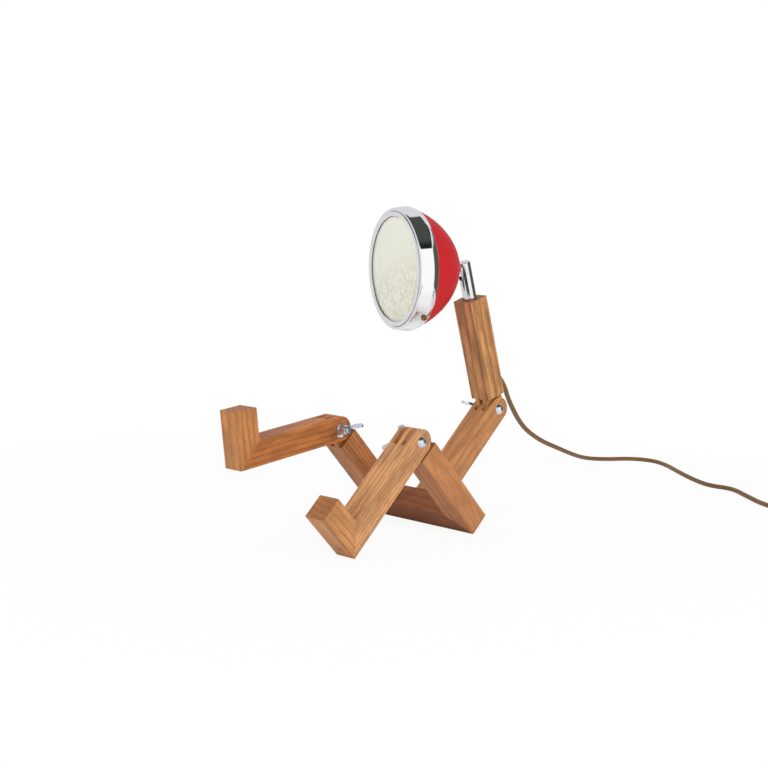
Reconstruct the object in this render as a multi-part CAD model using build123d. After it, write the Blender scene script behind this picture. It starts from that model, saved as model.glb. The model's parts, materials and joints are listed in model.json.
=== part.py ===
"""Robot-shaped desk lamp: a seated figure of square oak beams with a headlamp for a head.

Frame: millimetres, +Z up, the figure faces -Y and its left side is +X.
The origin is on the table, under the middle of the figure's box.
"""
from build123d import *
import os
from math import acos, asin, atan2, cos, degrees, hypot, pi, radians, sin, tan

# ---------------------------------------------------------------- driving dimensions
# beams
beam = 28.0                # side of the square beams
edge_round = 1.0           # rounding of a beam's long edges
hip_width = 152.0          # across the two thighs
thigh_length = 139.0       # back of the hip bar to the knee pivot
shin_length = 144.5        # knee pivot to the sole
foot_length = 63.0         # heel to toe
torso_length = 152.0       # middle of the hip bar to the waist pivot
chest_length = 137.0       # waist pivot to the top of the chest

# finger joints at the knees and the waist
slices = 5                 # fingers and tongues across one beam
finger_gap = 0.15          # play on each side of a tongue
shoulder = 16.4            # pivot to the shoulders that the rounded ends turn in
running_gap = 0.06         # radial play of a shaft in a hole that turns on it
fixed_gap = 0.1            # radial play of a bolt or screw in a hole that it doesn't turn in

# pose
seat_rise = 46.7           # thighs above the table, degrees
waist_fold = 64.3          # chest folded forward from the line of the lower torso
right_knee_fold = 54.2     # right shin folded from the line of its thigh
neck_turn = -19.9          # neck turned from straight ahead
head_lift = 15.0           # head raised from square to the neck
seat_x = 6.3               # middle of the hip bar, from the origin
seat_y = 64.6              # back of the hip bar, from the origin

# dowels, screws and plugs that hold the beams
mitre_dowel_d = 6.0
mitre_dowel_length = 24.0
mitre_dowel_spread = 12.0
torso_dowel_d = 8.0
torso_dowel_length = 40.0
torso_dowel_spread = 13.0
ankle_screw_d = 4.0
ankle_screw_length = 36.0
ankle_screw_head_d = 7.6
sole_plug_d = 8.0
sole_plug_depth = 6.0

# pivot bolts, washers and wing nuts
bolt_d = 6.0
bolt_head_d = 12.4
bolt_head_height = 3.8
bolt_square = 6.0
bolt_square_depth = 3.5
bolt_past_nut = 2.5
washer_d = 15.0
washer_thickness = 1.6
nut_gap = 0.1
nut_base_d = 12.0
nut_top_d = 9.0
nut_height = 9.0
wing_span = 38.0
wing_height = 17.0
wing_thickness = 2.8
wings_rest_at = {"waist": -18.0, "left_knee": 40.0, "right_knee": 15.0}   # degrees above +Y

# neck
post_d = 16.0
post_bore_d = 11.0
post_height = 41.0         # of the tube, above the chest
cap_height = 3.4
cap_spigot = 1.6
post_depth = 26.0          # of the tube, below the chest's top
bush_wall = 0.8
bush_drop = 0.6            # bush below the chest's top
socket_floor_gap = 0.3
groove_depth = 0.7
groove_width = 4.8
groove_drop = 13.0         # groove's middle below the chest's top
grub_d = 4.0
pivot_height = 33.3        # tilt pivot above the chest
window_low = 24.3          # lower end of the window that the tongue works in
tongue_thickness = 7.0
tongue_height = 7.0
tongue_eye_d = 8.0
tongue_bore_d = 3.2
tilt_pin_d = 3.4
tilt_pin_reach = 1.5       # of each pin into the tongue
head_height = 38.0         # where the head's axis crosses the neck's
tongue_foot = (13.0, 15.0, 2.4)   # of the foot that sits on the shell's inner plate
tongue_foot_at = 4.0

# head: every place along its axis is counted from the shell's mouth
head_gap = 11.0            # neck axis to the shell's back
shell_wall = 1.2
shell_mouth_r = 67.0
shell_side_r = shell_mouth_r * 1.349   # of the arc that the side follows
shell_side_lean = 19.7     # of that arc at the mouth, degrees
shell_nose_r = shell_mouth_r * 0.5194
shell_collar = 12.0        # straight collar inside the bezel
bezel_wall = 1.2
bezel_gap = 0.1
bezel_band_r = shell_mouth_r + 3.0
bezel_depth = 21.2
lens_view_r = shell_mouth_r - 8.4      # of the glass that shows
lens_seat = 5.0            # of the glass under the bezel's lip
lens_thickness = 3.5
lens_dome = 5.0
gasket_depth = 3.8
reflector_wall = 0.8
reflector_r = lens_view_r - 1.6
reflector_hole_r = 10.0
reflector_floor_r = 20.0
reflector_belly_r = reflector_r * 0.76  # where its curve bulges most
reflector_belly_at = -4.0
holder_r = 11.0
holder_length = 18.2
holder_clear = 19.9        # lamp holder's back to the shell's back
holder_floor = 4.0
holder_bore_r = 7.0
holder_flange = 2.0
bulb_base_r = 6.8
bulb_base_height = 9.0
bulb_r = 8.0
bulb_shoulder = 2.0
lead_d = 2.4
lead_bend_r = 2.4
backplate_r = 24.0
backplate_thickness = 2.0
rivet_spread = 22.0
rivet_d = 4.0
clip_screw_d = 4.0
clip_screw_head_d = 6.6
clip_screw_at = 8.0
clip_screw_turn = 48.0      # of the screw, round from the bezel's lowest point

# mains cord, 2.0 m of textile-covered two-core cord
cord_d = 5.8
core_d = 3.0
coil_slack = 0.2
gland_up = 45.0            # above the waist pivot
gland_flange_d = 14.0
gland_flange_thickness = 2.0
gland_plug_d = 8.0
gland_plug_depth = 7.0
gland_spout_d = 9.6
gland_spout_end_d = 7.4
gland_spout_length = 16.0
wireway_d = 8.0

# inline switch, coil and plug, on the table
switch_length = 60.0
switch_width = 21.0
switch_height = 13.0
switch_split = 6.5
switch_end_round = 7.0
switch_boss_d = 9.0
switch_boss_length = 4.0
rocker_length = 17.0
rocker_width = 10.0
rocker_rise = 1.6
rocker_pin_d = 2.4
rocker_gap = 0.35
switch_at = (275.6, 406.6)   # middle of the end that the cord comes in at
switch_heading = -43.2       # degrees from +X
coil_middle = (344.2, 420.0)
coil_turns_across = 2
coil_layers = 2
coil_middle_r = 32.0
coil_stub_in = 32.0
coil_stub_out = 22.0
plug_at = (356.5, 496.5)     # middle of the sleeve's end
plug_heading = 135.0
plug_sleeve_length = 18.0
plug_length = 34.0
plug_width = 32.0
plug_thickness = 13.7
plug_neck = 12.0
pin_d = 4.0
pin_sleeve_d = 3.5
pin_core_d = 3.0
pin_length = 19.0
pin_bare = 9.0
pin_spacing = 18.6

# the cord's route over the table, as control points after the gland's tip
hanging_route = [
    (0.9, 195.6, 149.9),
    (-12.8, 221.0, 127.0),
    (-24.3, 262.0, 89.5),
    (-39.8, 318.0, 64.8),
    (-59.5, 381.0, 46.1),
    (-84.4, 452.0, 25.5),
    (-116.0, 524.0, 9.4),
    (-118.0, 572.5, 2.9),
]
table_route = [
    (-100.0, 606.5, 2.9),
    (-68.0, 618.0, 2.9),
    (-34.0, 601.7, 2.9),
    (8.0, 567.4, 2.9),
    (60.0, 528.2, 2.9),
    (98.0, 507.0, 2.9),
    (128.0, 513.0, 2.9),
    (168.0, 481.3, 2.9),
    (212.0, 447.8, 2.9),
]
link_route = [
    (362.5, 347.7, 3.0),
]
switch_lead = 18.7           # straight cord at each end of the switch
coil_lead = 23.4             # straight cord into the coil
tail_lead = 20.0             # straight cord out of the coil and into the plug

# ---------------------------------------------------------------- worked-out places
half = beam / 2
slice_width = beam / slices
cord_r = cord_d / 2


def heading(angle):
    """Unit vector in the figure's side plane, angle counted from +Y towards +Z."""
    return Vector(0, cos(radians(angle)), sin(radians(angle)))


def member(point, angle):
    """Location of a beam's own frame: its length runs along local +Z."""
    return Plane(origin=point, x_dir=(1, 0, 0), z_dir=heading(angle)).location


thigh_angle = 180 - seat_rise
torso_angle = 90 - seat_rise
chest_angle = torso_angle + waist_fold
# the hip bar rests on its rounded lower edge
seat_z = (
    (half - edge_round) * (sin(radians(seat_rise)) + cos(radians(seat_rise)))
    + edge_round
    - half * sin(radians(seat_rise))
)
hip_back = Vector(seat_x, seat_y, seat_z)
knee = hip_back + thigh_length * heading(thigh_angle)
# the left heel comes down to the table
left_shin_fall = degrees(
    asin(knee.Z / hypot(shin_length, half)) - atan2(half, shin_length)
)
left_shin_angle = 180 + left_shin_fall
right_shin_angle = thigh_angle + right_knee_fold
hip_middle = hip_back + half * heading(thigh_angle)
waist = hip_middle + torso_length * heading(torso_angle)
thigh_x = hip_width / 2 - half

# the shell's side and nose arcs meet smoothly; places are (radius, along the axis)
side_lean = radians(shell_side_lean)
side_middle_r = shell_mouth_r - shell_side_r * cos(side_lean)
side_middle_z = shell_side_r * sin(side_lean)
arcs_meet = acos(-side_middle_r / (shell_side_r - shell_nose_r))
nose_middle = side_middle_z - (shell_side_r - shell_nose_r) * sin(arcs_meet)
shell_depth = shell_nose_r - nose_middle
mouth_reach = head_gap + shell_depth
holder_back = holder_clear - shell_depth
reflector_floor = holder_back + holder_length

u_frame = member(hip_back, thigh_angle)
torso_frame = member(hip_middle, torso_angle)
chest_frame = member(waist, chest_angle)
neck_frame = chest_frame * Pos(0, 0, chest_length) * Rot(0, 0, neck_turn)
head_frame = (
    neck_frame
    * Pos(0, 0, head_height)
    * Rot(90 - head_lift, 0, 0)
    * Pos(0, 0, mouth_reach)
)
shin_frames = {
    "left": Pos(thigh_x, 0, 0) * member(knee, left_shin_angle),
    "right": Pos(-thigh_x, 0, 0) * member(knee, right_shin_angle),
}
shin_angles = {"left": left_shin_angle, "right": right_shin_angle}
outward = {"left": 1, "right": -1}

parts = {}


def keep(name, shape, frame=None):
    """Places a finished piece and files it under its node name."""
    parts[name] = shape if frame is None else frame * shape


# ---------------------------------------------------------------- shapes used more than once
def bar(low, high):
    """Square beam with eased long edges, along Z."""
    return Pos(0, 0, low) * extrude(RectangleRounded(beam, beam, edge_round), high - low)


def rod(d, low, high):
    """Round rod along Z."""
    return Pos(0, 0, low) * Cylinder(d / 2, high - low, align=(Align.CENTER, Align.CENTER, Align.MIN))


def cross_hole(d, at_z, low=-half, high=half):
    """Round rod along X through a beam's middle plane, for a pivot hole."""
    return Pos(0, 0, at_z) * Rot(0, 90, 0) * rod(d, low, high)


def outline_prism(plane, points, width):
    """Closed outline drawn on a plane through the local origin, made solid both ways."""
    return extrude(plane * make_face(Polyline(*points, close=True)), width / 2, both=True)


def knuckle(pivot_z, toward, kept, width):
    """Rounded finger ends of a beam: the slices that are kept, round about the pivot."""
    inner = pivot_z - toward * shoulder
    low, high = sorted((inner, pivot_z + toward * half))
    blank = bar(low, high)
    reach = Pos(0, 0, (inner + pivot_z) / 2) * Box(beam, beam, abs(pivot_z - inner))
    swing = cross_hole(beam, pivot_z)
    ends = blank & (reach + swing)
    fingers = []
    for number in kept:
        middle = (number + 0.5) * slice_width - half
        fingers.append(ends & (Pos(middle, 0, pivot_z) * Box(width, 3 * beam, 3 * beam)))
    return fingers


def with_fingers(body, pivot_z, toward):
    """Three-finger end: outer and middle slices, which the pivot bolt is fixed in."""
    shape = body
    for finger in knuckle(pivot_z, toward, range(0, slices, 2), slice_width):
        shape += finger
    return shape - cross_hole(bolt_d + 2 * fixed_gap, pivot_z)


def with_tongues(body, pivot_z, toward):
    """Two-tongue end, which turns on the pivot bolt between the fingers."""
    shape = body
    for tongue in knuckle(pivot_z, toward, range(1, slices, 2), slice_width - 2 * finger_gap):
        shape += tongue
    return shape - cross_hole(bolt_d + 2 * running_gap, pivot_z)


def square_recess(pivot_z, side):
    """Square hole that the carriage bolt's neck is drawn into."""
    size = bolt_square + 2 * fixed_gap
    depth = bolt_square_depth + fixed_gap
    return Pos(side * (half - depth / 2), 0, pivot_z) * Box(depth, size, size)


def to_side(side):
    """Turns a part that was drawn along +Z to point along X, outward on that side."""
    return Rot(0, 90 * side, 0)


def pivot_bolt():
    """Carriage bolt along Z: domed head above the wood, square neck, plain shank."""
    head_ball_r = (bolt_head_height**2 + (bolt_head_d / 2) ** 2) / (2 * bolt_head_height)
    ball = Pos(0, 0, half + bolt_head_height - head_ball_r) * Sphere(head_ball_r)
    head = ball & rod(bolt_head_d, half, half + bolt_head_height)
    neck = Pos(0, 0, half - bolt_square_depth / 2) * Box(bolt_square, bolt_square, bolt_square_depth)
    tip = half + washer_thickness + nut_gap + nut_height + bolt_past_nut
    shank = chamfer(rod(bolt_d, -tip, half).edges().group_by(Axis.Z)[0], 0.6)
    return head + neck + shank


def pivot_washer():
    """Plain washer between the wood and the wing nut, on the -Z side."""
    ring = rod(washer_d, -half - washer_thickness, -half)
    return ring - rod(bolt_d + 4 * fixed_gap, -2 * half, 0)


def wing_nut():
    """Wing nut drawn with its seat on Z = 0 and its wings along Y, rising to +Z."""
    hub = Cone(nut_base_d / 2, nut_top_d / 2, nut_height, align=(Align.CENTER, Align.CENTER, Align.MIN))
    tip = wing_span / 2
    wing = Polyline(
        (0, 1.5),
        (nut_base_d / 2 + 1.0, 1.5),
        (tip - 3.0, wing_height - 10.5),
        (tip, wing_height - 6.5),
        (tip - 0.8, wing_height - 1.5),
        (tip - 4.5, wing_height),
        (tip - 8.5, wing_height - 3.5),
        (nut_base_d / 2 + 0.5, nut_height - 1.0),
        (0, nut_height - 1.0),
        close=True,
    )
    face = make_face(wing)
    soft = [v for v in face.vertices() if v.X > nut_base_d / 2 + 2.0]
    face = fillet(soft, 2.0)
    blade = extrude(Plane.YZ * face, wing_thickness / 2, both=True)
    solid = hub + blade + mirror(blade, Plane.XZ)
    return solid - rod(bolt_d + 2 * running_gap, -1, wing_height + 1)


def pivot_set(name, frame, side, angle):
    """Bolt, washer and wing nut of one pivot in a beam at that angle; the head is on the given side."""
    keep(f"{name}_bolt", to_side(side) * pivot_bolt(), frame)
    keep(f"{name}_washer", to_side(side) * pivot_washer(), frame)
    seat = half + washer_thickness + nut_gap
    turned_nut = Rot(wings_rest_at[name] + 90 - angle, 0, 0) * to_side(-side) * wing_nut()
    keep(f"{name}_wing_nut", Pos(-side * seat, 0, 0) * turned_nut, frame)


# ---------------------------------------------------------------- hip bar, thighs and lower torso
def corner_dowels(side):
    """Two dowels across one mitre of the U-shaped seat frame."""
    dowel = rod(mitre_dowel_d, -mitre_dowel_length / 2, mitre_dowel_length / 2)
    tilt = Pos(side * thigh_x, 0, half) * Rot(0, 45 * side, 0)
    spread = mitre_dowel_spread / 2
    return [Pos(0, y, 0) * tilt * dowel for y in (-spread, spread)]


def torso_dowels():
    """Two dowels from the hip bar into the end grain of the lower torso."""
    into_bar = torso_dowel_length * 0.4
    low = half - into_bar
    dowel = rod(torso_dowel_d, low, low + torso_dowel_length)
    spread = torso_dowel_spread / 2
    return [Pos(x, 0, 0) * dowel for x in (-spread, spread)]


def seat_outline(side):
    """Outline of a thigh on the frame's own plane, mitred at the hip."""
    outer, inner = side * hip_width / 2, side * (hip_width / 2 - beam)
    top = thigh_length + beam
    return [(outer, 0), (outer, top), (inner, top), (inner, beam)]


hip_outline = [
    (-hip_width / 2, 0),
    (hip_width / 2, 0),
    (hip_width / 2 - beam, beam),
    (beam - hip_width / 2, beam),
]
hip_blank = Pos(-hip_width / 2, 0, half) * Rot(0, 90, 0) * bar(0, hip_width)
hip_bar = hip_blank & outline_prism(Plane.XZ, hip_outline, 2 * beam)
mitre_dowels = corner_dowels(1) + corner_dowels(-1)
for dowel in mitre_dowels:
    hip_bar -= dowel
hip_bar = u_frame * hip_bar
torso = with_fingers(bar(half, torso_length - shoulder), torso_length, 1)
torso -= square_recess(torso_length, 1)
for dowel in torso_dowels():
    hip_bar -= torso_frame * dowel
    torso -= dowel
keep("hip_bar", hip_bar)
keep("lower_torso", torso, torso_frame)
keep("hip_corner_dowels", Compound(children=mitre_dowels), u_frame)
keep("torso_dowels", Compound(children=torso_dowels()), torso_frame)

for name, side in outward.items():
    blank = bar(0, thigh_length - shoulder)
    thigh = Pos(side * thigh_x, 0, 0) * with_tongues(blank, thigh_length, 1)
    thigh &= outline_prism(Plane.XZ, seat_outline(side), 2 * beam)
    for dowel in corner_dowels(side):
        thigh -= dowel
    keep(f"{name}_thigh", thigh, u_frame)

pivot_set("waist", torso_frame * Pos(0, 0, torso_length), 1, torso_angle)


# ---------------------------------------------------------------- lower legs
def ankle_dowels():
    """Two dowels square to the mitre between shin and foot."""
    dowel = rod(mitre_dowel_d, -mitre_dowel_length / 2, mitre_dowel_length / 2)
    tilt = Pos(0, 0, shin_length - half) * Rot(-45, 0, 0)
    spread = mitre_dowel_spread / 2 + 1.0
    return [Pos(x, 0, 0) * tilt * dowel for x in (-spread, spread)]


def ankle_screw():
    """Countersunk screw up the shin from the sole, under the plug."""
    top = shin_length - sole_plug_depth
    cone_height = (ankle_screw_head_d - ankle_screw_d) / 2
    shank = rod(ankle_screw_d, top - ankle_screw_length, top)
    head = Pos(0, 0, top - cone_height) * Cone(
        ankle_screw_d / 2,
        ankle_screw_head_d / 2,
        cone_height,
        align=(Align.CENTER, Align.CENTER, Align.MIN),
    )
    return shank + head


shin_outline = [
    (-half, -beam),
    (half, -beam),
    (half, shin_length - beam),
    (-half, shin_length),
]
foot_outline = [
    (-half, shin_length),
    (half, shin_length - beam),
    (foot_length - half, shin_length - beam),
    (foot_length - half, shin_length),
]
sole_plug = rod(sole_plug_d, shin_length - sole_plug_depth, shin_length)
for name, side in outward.items():
    frame = shin_frames[name]
    shin = with_fingers(bar(shoulder, shin_length), 0, -1)
    shin &= outline_prism(Plane.YZ, shin_outline, 2 * beam)
    shin -= square_recess(0, side)
    foot = Pos(0, -half, shin_length - half) * Rot(-90, 0, 0) * bar(0, foot_length)
    foot &= outline_prism(Plane.YZ, foot_outline, 2 * beam)
    for hidden in ankle_dowels() + [ankle_screw()]:
        shin -= hidden
        foot -= hidden
    keep(f"{name}_shin", shin, frame)
    keep(f"{name}_foot", foot - sole_plug, frame)
    keep(f"{name}_ankle_dowels", Compound(children=ankle_dowels()), frame)
    keep(f"{name}_ankle_screw", ankle_screw(), frame)
    keep(f"{name}_sole_plug", sole_plug, frame)
    pivot_set(f"{name}_knee", frame, side, shin_angles[name])

# ---------------------------------------------------------------- chest and neck
bush_d = post_d + 2 * running_gap + 2 * bush_wall
socket_depth = post_depth + socket_floor_gap
groove_z = -groove_drop
grub_tip = post_d / 2 - groove_depth / 2
gland_base = Pos(0, half, gland_up)
grub_hole = Pos(0, 0, chest_length - groove_drop) * Rot(-90, 0, 0)

chest = with_tongues(bar(shoulder, chest_length), 0, -1)
chest -= rod(bush_d, chest_length - socket_depth, chest_length + 1)
chest -= rod(wireway_d, gland_up, chest_length)
chest -= Pos(0, 0, gland_up) * Rot(-90, 0, 0) * rod(gland_plug_d + 2 * fixed_gap, -2, half)
chest -= grub_hole * rod(grub_d + 2 * fixed_gap, 0, half)
keep("chest", chest, chest_frame)

bush = rod(bush_d, -socket_depth, -bush_drop)
bush -= rod(post_d + 2 * running_gap, -socket_depth - 1, 1)
bush -= Pos(0, 0, groove_z) * Rot(-90, 0, 0) * rod(grub_d + 2 * fixed_gap, 0, half)
top_of_chest = chest_frame * Pos(0, 0, chest_length)
keep("neck_bush", bush, top_of_chest)

grub = rod(grub_d, grub_tip, half - 0.4)
grub -= Pos(0, 0, half - 1.4) * extrude(RegularPolygon(grub_d * 0.28, 6), 2)
keep("neck_grub_screw", grub, chest_frame * grub_hole)

window_height = post_height - window_low
window = Pos(0, -post_d / 2, window_low + window_height / 2) * Box(
    tongue_thickness + 4 * fixed_gap, post_d, window_height
)
pin_pair_z = Pos(0, 0, pivot_height) * Rot(0, 90, 0)
pin_tip = tongue_thickness / 2 - tilt_pin_reach
post = rod(post_d, -post_depth, post_height) - rod(post_bore_d, -post_depth - 1, post_height + 1)
post -= window
groove = rod(post_d + 1, groove_z - groove_width / 2, groove_z + groove_width / 2)
post -= groove - rod(post_d - 2 * groove_depth, groove_z - groove_width, groove_z + groove_width)
post -= pin_pair_z * rod(tilt_pin_d, -post_d, post_d)
keep("neck_post", post, neck_frame)

cap_edge = 0.5
cap = rod(post_d, post_height, post_height + cap_height)
cap = chamfer(cap.edges().group_by(Axis.Z)[-1], cap_edge)
cap += rod(post_bore_d - 2 * fixed_gap, post_height - cap_spigot, post_height)
keep("neck_cap", cap, neck_frame)

pin_stub = rod(tilt_pin_d, pin_tip, post_d / 2 - 0.3)
stubs = [pin_pair_z * pin_stub, pin_pair_z * Rot(0, 180, 0) * pin_stub]
keep("tilt_pins", Compound(children=stubs), neck_frame)


# ---------------------------------------------------------------- head
def shell_arcs(inset):
    """Side and nose arcs of the shell's profile, moved inwards by inset."""

    def on_side(angle):
        r = shell_side_r - inset
        return (side_middle_r + r * cos(angle), side_middle_z - r * sin(angle))

    def on_nose(angle):
        r = shell_nose_r - inset
        return (r * cos(angle), nose_middle - r * sin(angle))

    halfway = (side_lean + arcs_meet) / 2
    side = ThreePointArc(on_side(side_lean), on_side(halfway), on_side(arcs_meet))
    halfway = (arcs_meet + pi / 2) / 2
    nose = ThreePointArc(on_nose(arcs_meet), on_nose(halfway), on_nose(pi / 2))
    return side, nose


def turned(lines):
    """Solid of revolution about Z from a closed outline drawn as (r, along)."""
    return revolve(Plane.XZ * make_face(lines), Axis.Z)


def shell_skin():
    """Pressed steel bowl with a straight collar at its mouth."""
    outer_side, outer_nose = shell_arcs(0)
    inner_side, inner_nose = shell_arcs(shell_wall)
    outer_front = (shell_mouth_r, shell_collar)
    inner_front = (shell_mouth_r - shell_wall, shell_collar)
    inner_start = inner_side @ 0
    throat = (shell_mouth_r - shell_wall, inner_start.Y)
    lines = [
        Line(outer_front, outer_side @ 0),
        outer_side,
        outer_nose,
        Line(outer_nose @ 1, inner_nose @ 1),
        inner_nose,
        inner_side,
        Line(inner_start, throat),
        Line(throat, inner_front),
        Line(inner_front, outer_front),
    ]
    return turned(lines)


plate_outer_r = shell_nose_r - shell_wall - fixed_gap
plate_ball = Pos(0, 0, nose_middle) * (
    Sphere(plate_outer_r) - Sphere(plate_outer_r - backplate_thickness)
)
backplate = plate_ball & rod(2 * backplate_r, -shell_depth, nose_middle)

to_head = head_frame.inverse() * neck_frame
to_neck = to_head.inverse()
tongue_reach = shell_nose_r
foot_outer_r = plate_outer_r - backplate_thickness
foot_wide, foot_high, foot_thick = tongue_foot
foot_blank = Sphere(foot_outer_r) - Sphere(foot_outer_r - foot_thick)
nose_ball = to_neck * Pos(0, 0, nose_middle)
tongue_bar = Pos(0, -tongue_reach / 2, pivot_height) * Box(tongue_thickness, tongue_reach, tongue_height)
tongue_bar -= nose_ball * Sphere(foot_outer_r - foot_thick / 2)
tongue_eye = pin_pair_z * rod(tongue_eye_d, -tongue_thickness / 2, tongue_thickness / 2)
foot_box = Pos(0, -tongue_reach / 2 - tongue_foot_at, pivot_height) * Box(foot_wide, tongue_reach, foot_high)
tongue = tongue_bar + tongue_eye + (nose_ball * foot_blank & foot_box)
tongue -= Pos(0, tongue_eye_d, pivot_height) * Rot(90, 0, 0) * rod(tongue_bore_d, 0, 2 * tongue_reach)
for turn in (0, 180):
    pocket = rod(tilt_pin_d + 2 * running_gap, pin_tip - fixed_gap, tongue_thickness)
    tongue -= pin_pair_z * Rot(0, turn, 0) * pocket
keep("tilt_tongue", tongue, neck_frame)

slot_size = (tongue_thickness + 2 * fixed_gap, 2 * tongue_reach, tongue_height + 2 * fixed_gap)
tongue_slot = to_head * Pos(0, -tongue_reach, pivot_height) * Box(*slot_size)
clip_hole = Rot(0, 0, clip_screw_turn) * Pos(0, -shell_mouth_r, clip_screw_at) * Rot(90, 0, 0)
nose_rivets = []
rivet_bores = []
rivet_lean = degrees(asin(rivet_spread / 2 / shell_nose_r))
for side in (-1, 1):
    seat = Pos(0, 0, nose_middle) * Rot(0, 180 - side * rivet_lean, 0)
    shank_low = plate_outer_r - backplate_thickness - 1.0
    shank = rod(rivet_d, shank_low, shell_nose_r)
    dome = Pos(0, 0, shell_nose_r - 0.3) * (Sphere(rivet_d) & rod(4 * rivet_d, 0, rivet_d / 2))
    nose_rivets.append(seat * (shank + dome))
    rivet_bores.append(seat * rod(rivet_d, shell_nose_r / 2, shell_nose_r + rivet_d))
shell = shell_skin() - tongue_slot
backplate -= tongue_slot
for bore, rivet in zip(rivet_bores, nose_rivets):
    shell -= bore + rivet
    backplate -= bore
shell -= clip_hole * rod(clip_screw_d + 2 * fixed_gap, -2 * shell_wall, 2 * shell_wall)
keep("head_shell", shell, head_frame)
keep("shell_backplate", backplate, head_frame)
keep("shell_rivets", Compound(children=nose_rivets), head_frame)

# bezel: rolled bead at the back, wide outward band, rolled lip over the glass
bezel_in = shell_mouth_r + bezel_gap
bead_r = bezel_in + bezel_wall
lip_inner = lens_view_r
lens_front = bezel_depth - 0.9
lens_r = lens_view_r + lens_seat
band_back = 4.6
band_mid = 11.3
band_front_r = bezel_band_r - 4.4
bezel_lines = [
    ThreePointArc((bead_r - 0.3, 0), (bead_r + 0.8, band_back / 2), (bead_r + 0.2, band_back)),
    Line((bead_r + 0.2, band_back), (bezel_band_r - 0.6, band_back)),
    ThreePointArc(
        (bezel_band_r - 0.6, band_back), (bezel_band_r, band_mid), (band_front_r, bezel_depth)
    ),
    ThreePointArc(
        (band_front_r, bezel_depth),
        ((band_front_r + lip_inner) / 2, bezel_depth + 1.5),
        (lip_inner, bezel_depth - 0.3),
    ),
    Line((lip_inner, bezel_depth - 0.3), (lip_inner, lens_front)),
    Line((lip_inner, lens_front), (band_front_r - bezel_wall, lens_front)),
    ThreePointArc(
        (band_front_r - bezel_wall, lens_front),
        (bezel_band_r - bezel_wall, band_mid),
        (bezel_in + 0.6, band_back),
    ),
    Line((bezel_in + 0.6, band_back), (bezel_in, 0)),
    Line((bezel_in, 0), (bead_r - 0.3, 0)),
]
bezel = turned(bezel_lines)
bezel -= clip_hole * rod(clip_screw_d + 2 * fixed_gap, 0, 3 * bezel_wall)
keep("bezel", bezel, head_frame)

clip_seat = bezel_band_r - shell_mouth_r
clip_screw = rod(clip_screw_d, -3.2, clip_seat + 0.2)
clip_screw += rod(clip_screw_head_d, clip_seat + 0.15, clip_seat + 2.2)
clip_screw -= Pos(0, 0, clip_seat + 1.9) * Box(clip_screw_head_d, 1.0, 1.4)
keep("bezel_screw", clip_screw, head_frame * clip_hole)

lens_back = lens_front - lens_thickness
dome_rim_r = lens_view_r - 1.0
dome_ball_r = (dome_rim_r**2 + lens_dome**2) / (2 * lens_dome)
dome_front = Pos(0, 0, lens_front + lens_dome - dome_ball_r) * Sphere(dome_ball_r)
dome_back = Pos(0, 0, lens_back + lens_dome - dome_ball_r) * Sphere(dome_ball_r)
lens = rod(2 * dome_rim_r, lens_back, lens_front + lens_dome) & dome_front
lens = lens - dome_back + (rod(2 * lens_r, lens_back, lens_front) - rod(2 * dome_rim_r, 0, bezel_depth))
keep("lens", lens, head_frame)

gasket_back = lens_back - gasket_depth
gasket = rod(2 * (shell_mouth_r - 1.5), gasket_back, lens_back)
gasket -= rod(2 * lens_view_r + 1, gasket_back - 1, lens_back + 1)
keep("lens_gasket", gasket, head_frame)

rim_front = gasket_back
rim_back = rim_front - reflector_wall
reflector_lines = [
    Line((shell_mouth_r - 0.6, rim_front), (shell_mouth_r - 0.6, rim_back)),
    Line((shell_mouth_r - 0.6, rim_back), (reflector_r + reflector_wall, rim_back)),
    ThreePointArc(
        (reflector_r + reflector_wall, rim_back),
        (reflector_belly_r, reflector_belly_at - reflector_wall),
        (reflector_floor_r, reflector_floor - reflector_wall),
    ),
    Line(
        (reflector_floor_r, reflector_floor - reflector_wall),
        (reflector_hole_r, reflector_floor - reflector_wall),
    ),
    Line((reflector_hole_r, reflector_floor - reflector_wall), (reflector_hole_r, reflector_floor)),
    Line((reflector_hole_r, reflector_floor), (reflector_floor_r, reflector_floor)),
    ThreePointArc(
        (reflector_floor_r, reflector_floor),
        (reflector_belly_r - reflector_wall, reflector_belly_at),
        (reflector_r, rim_front),
    ),
    Line((reflector_r, rim_front), (shell_mouth_r - 0.6, rim_front)),
]
keep("reflector", turned(reflector_lines), head_frame)

holder_front = reflector_floor - reflector_wall
holder = rod(2 * holder_r, holder_back, holder_front)
holder += rod(2 * reflector_floor_r - 2, holder_front - holder_flange, holder_front)
holder -= rod(2 * holder_bore_r, holder_back + holder_floor, holder_front + 1)
holder -= rod(lead_d + 2 * fixed_gap, holder_back - 1, holder_back + holder_floor + 1)
keep("lamp_holder", holder, head_frame)

bulb_base_top = holder_front
keep("bulb_base", rod(2 * bulb_base_r, bulb_base_top - bulb_base_height, bulb_base_top), head_frame)
capsule = rod(2 * bulb_r, bulb_base_top, bulb_shoulder) + Pos(0, 0, bulb_shoulder) * Sphere(bulb_r)
keep("bulb_glass", capsule, head_frame)

# ---------------------------------------------------------------- cord and what is on it
spout_root = (chest_frame * Pos(0, half + gland_flange_thickness, gland_up)).position
spout_way = (Vector(*hanging_route[0]) - spout_root).normalized()
spout_frame = Plane(origin=spout_root, z_dir=spout_way).location
gland_tip = spout_root + gland_spout_length * spout_way
behind_chest = chest_frame * Pos(0, half + beam, gland_up) * Box(2 * beam, 2 * beam, 2 * beam)

spout = Sphere(gland_spout_d / 2) + Cone(
    gland_spout_d / 2,
    gland_spout_end_d / 2,
    gland_spout_length,
    align=(Align.CENTER, Align.CENTER, Align.MIN),
)
gland = gland_base * Rot(-90, 0, 0) * rod(gland_flange_d, 0, gland_flange_thickness)
gland += gland_base * Rot(-90, 0, 0) * rod(gland_plug_d, -gland_plug_depth, 0.5)
gland = chest_frame * gland + (spout_frame * spout & behind_chest)
keep("cord_gland", gland)


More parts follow.
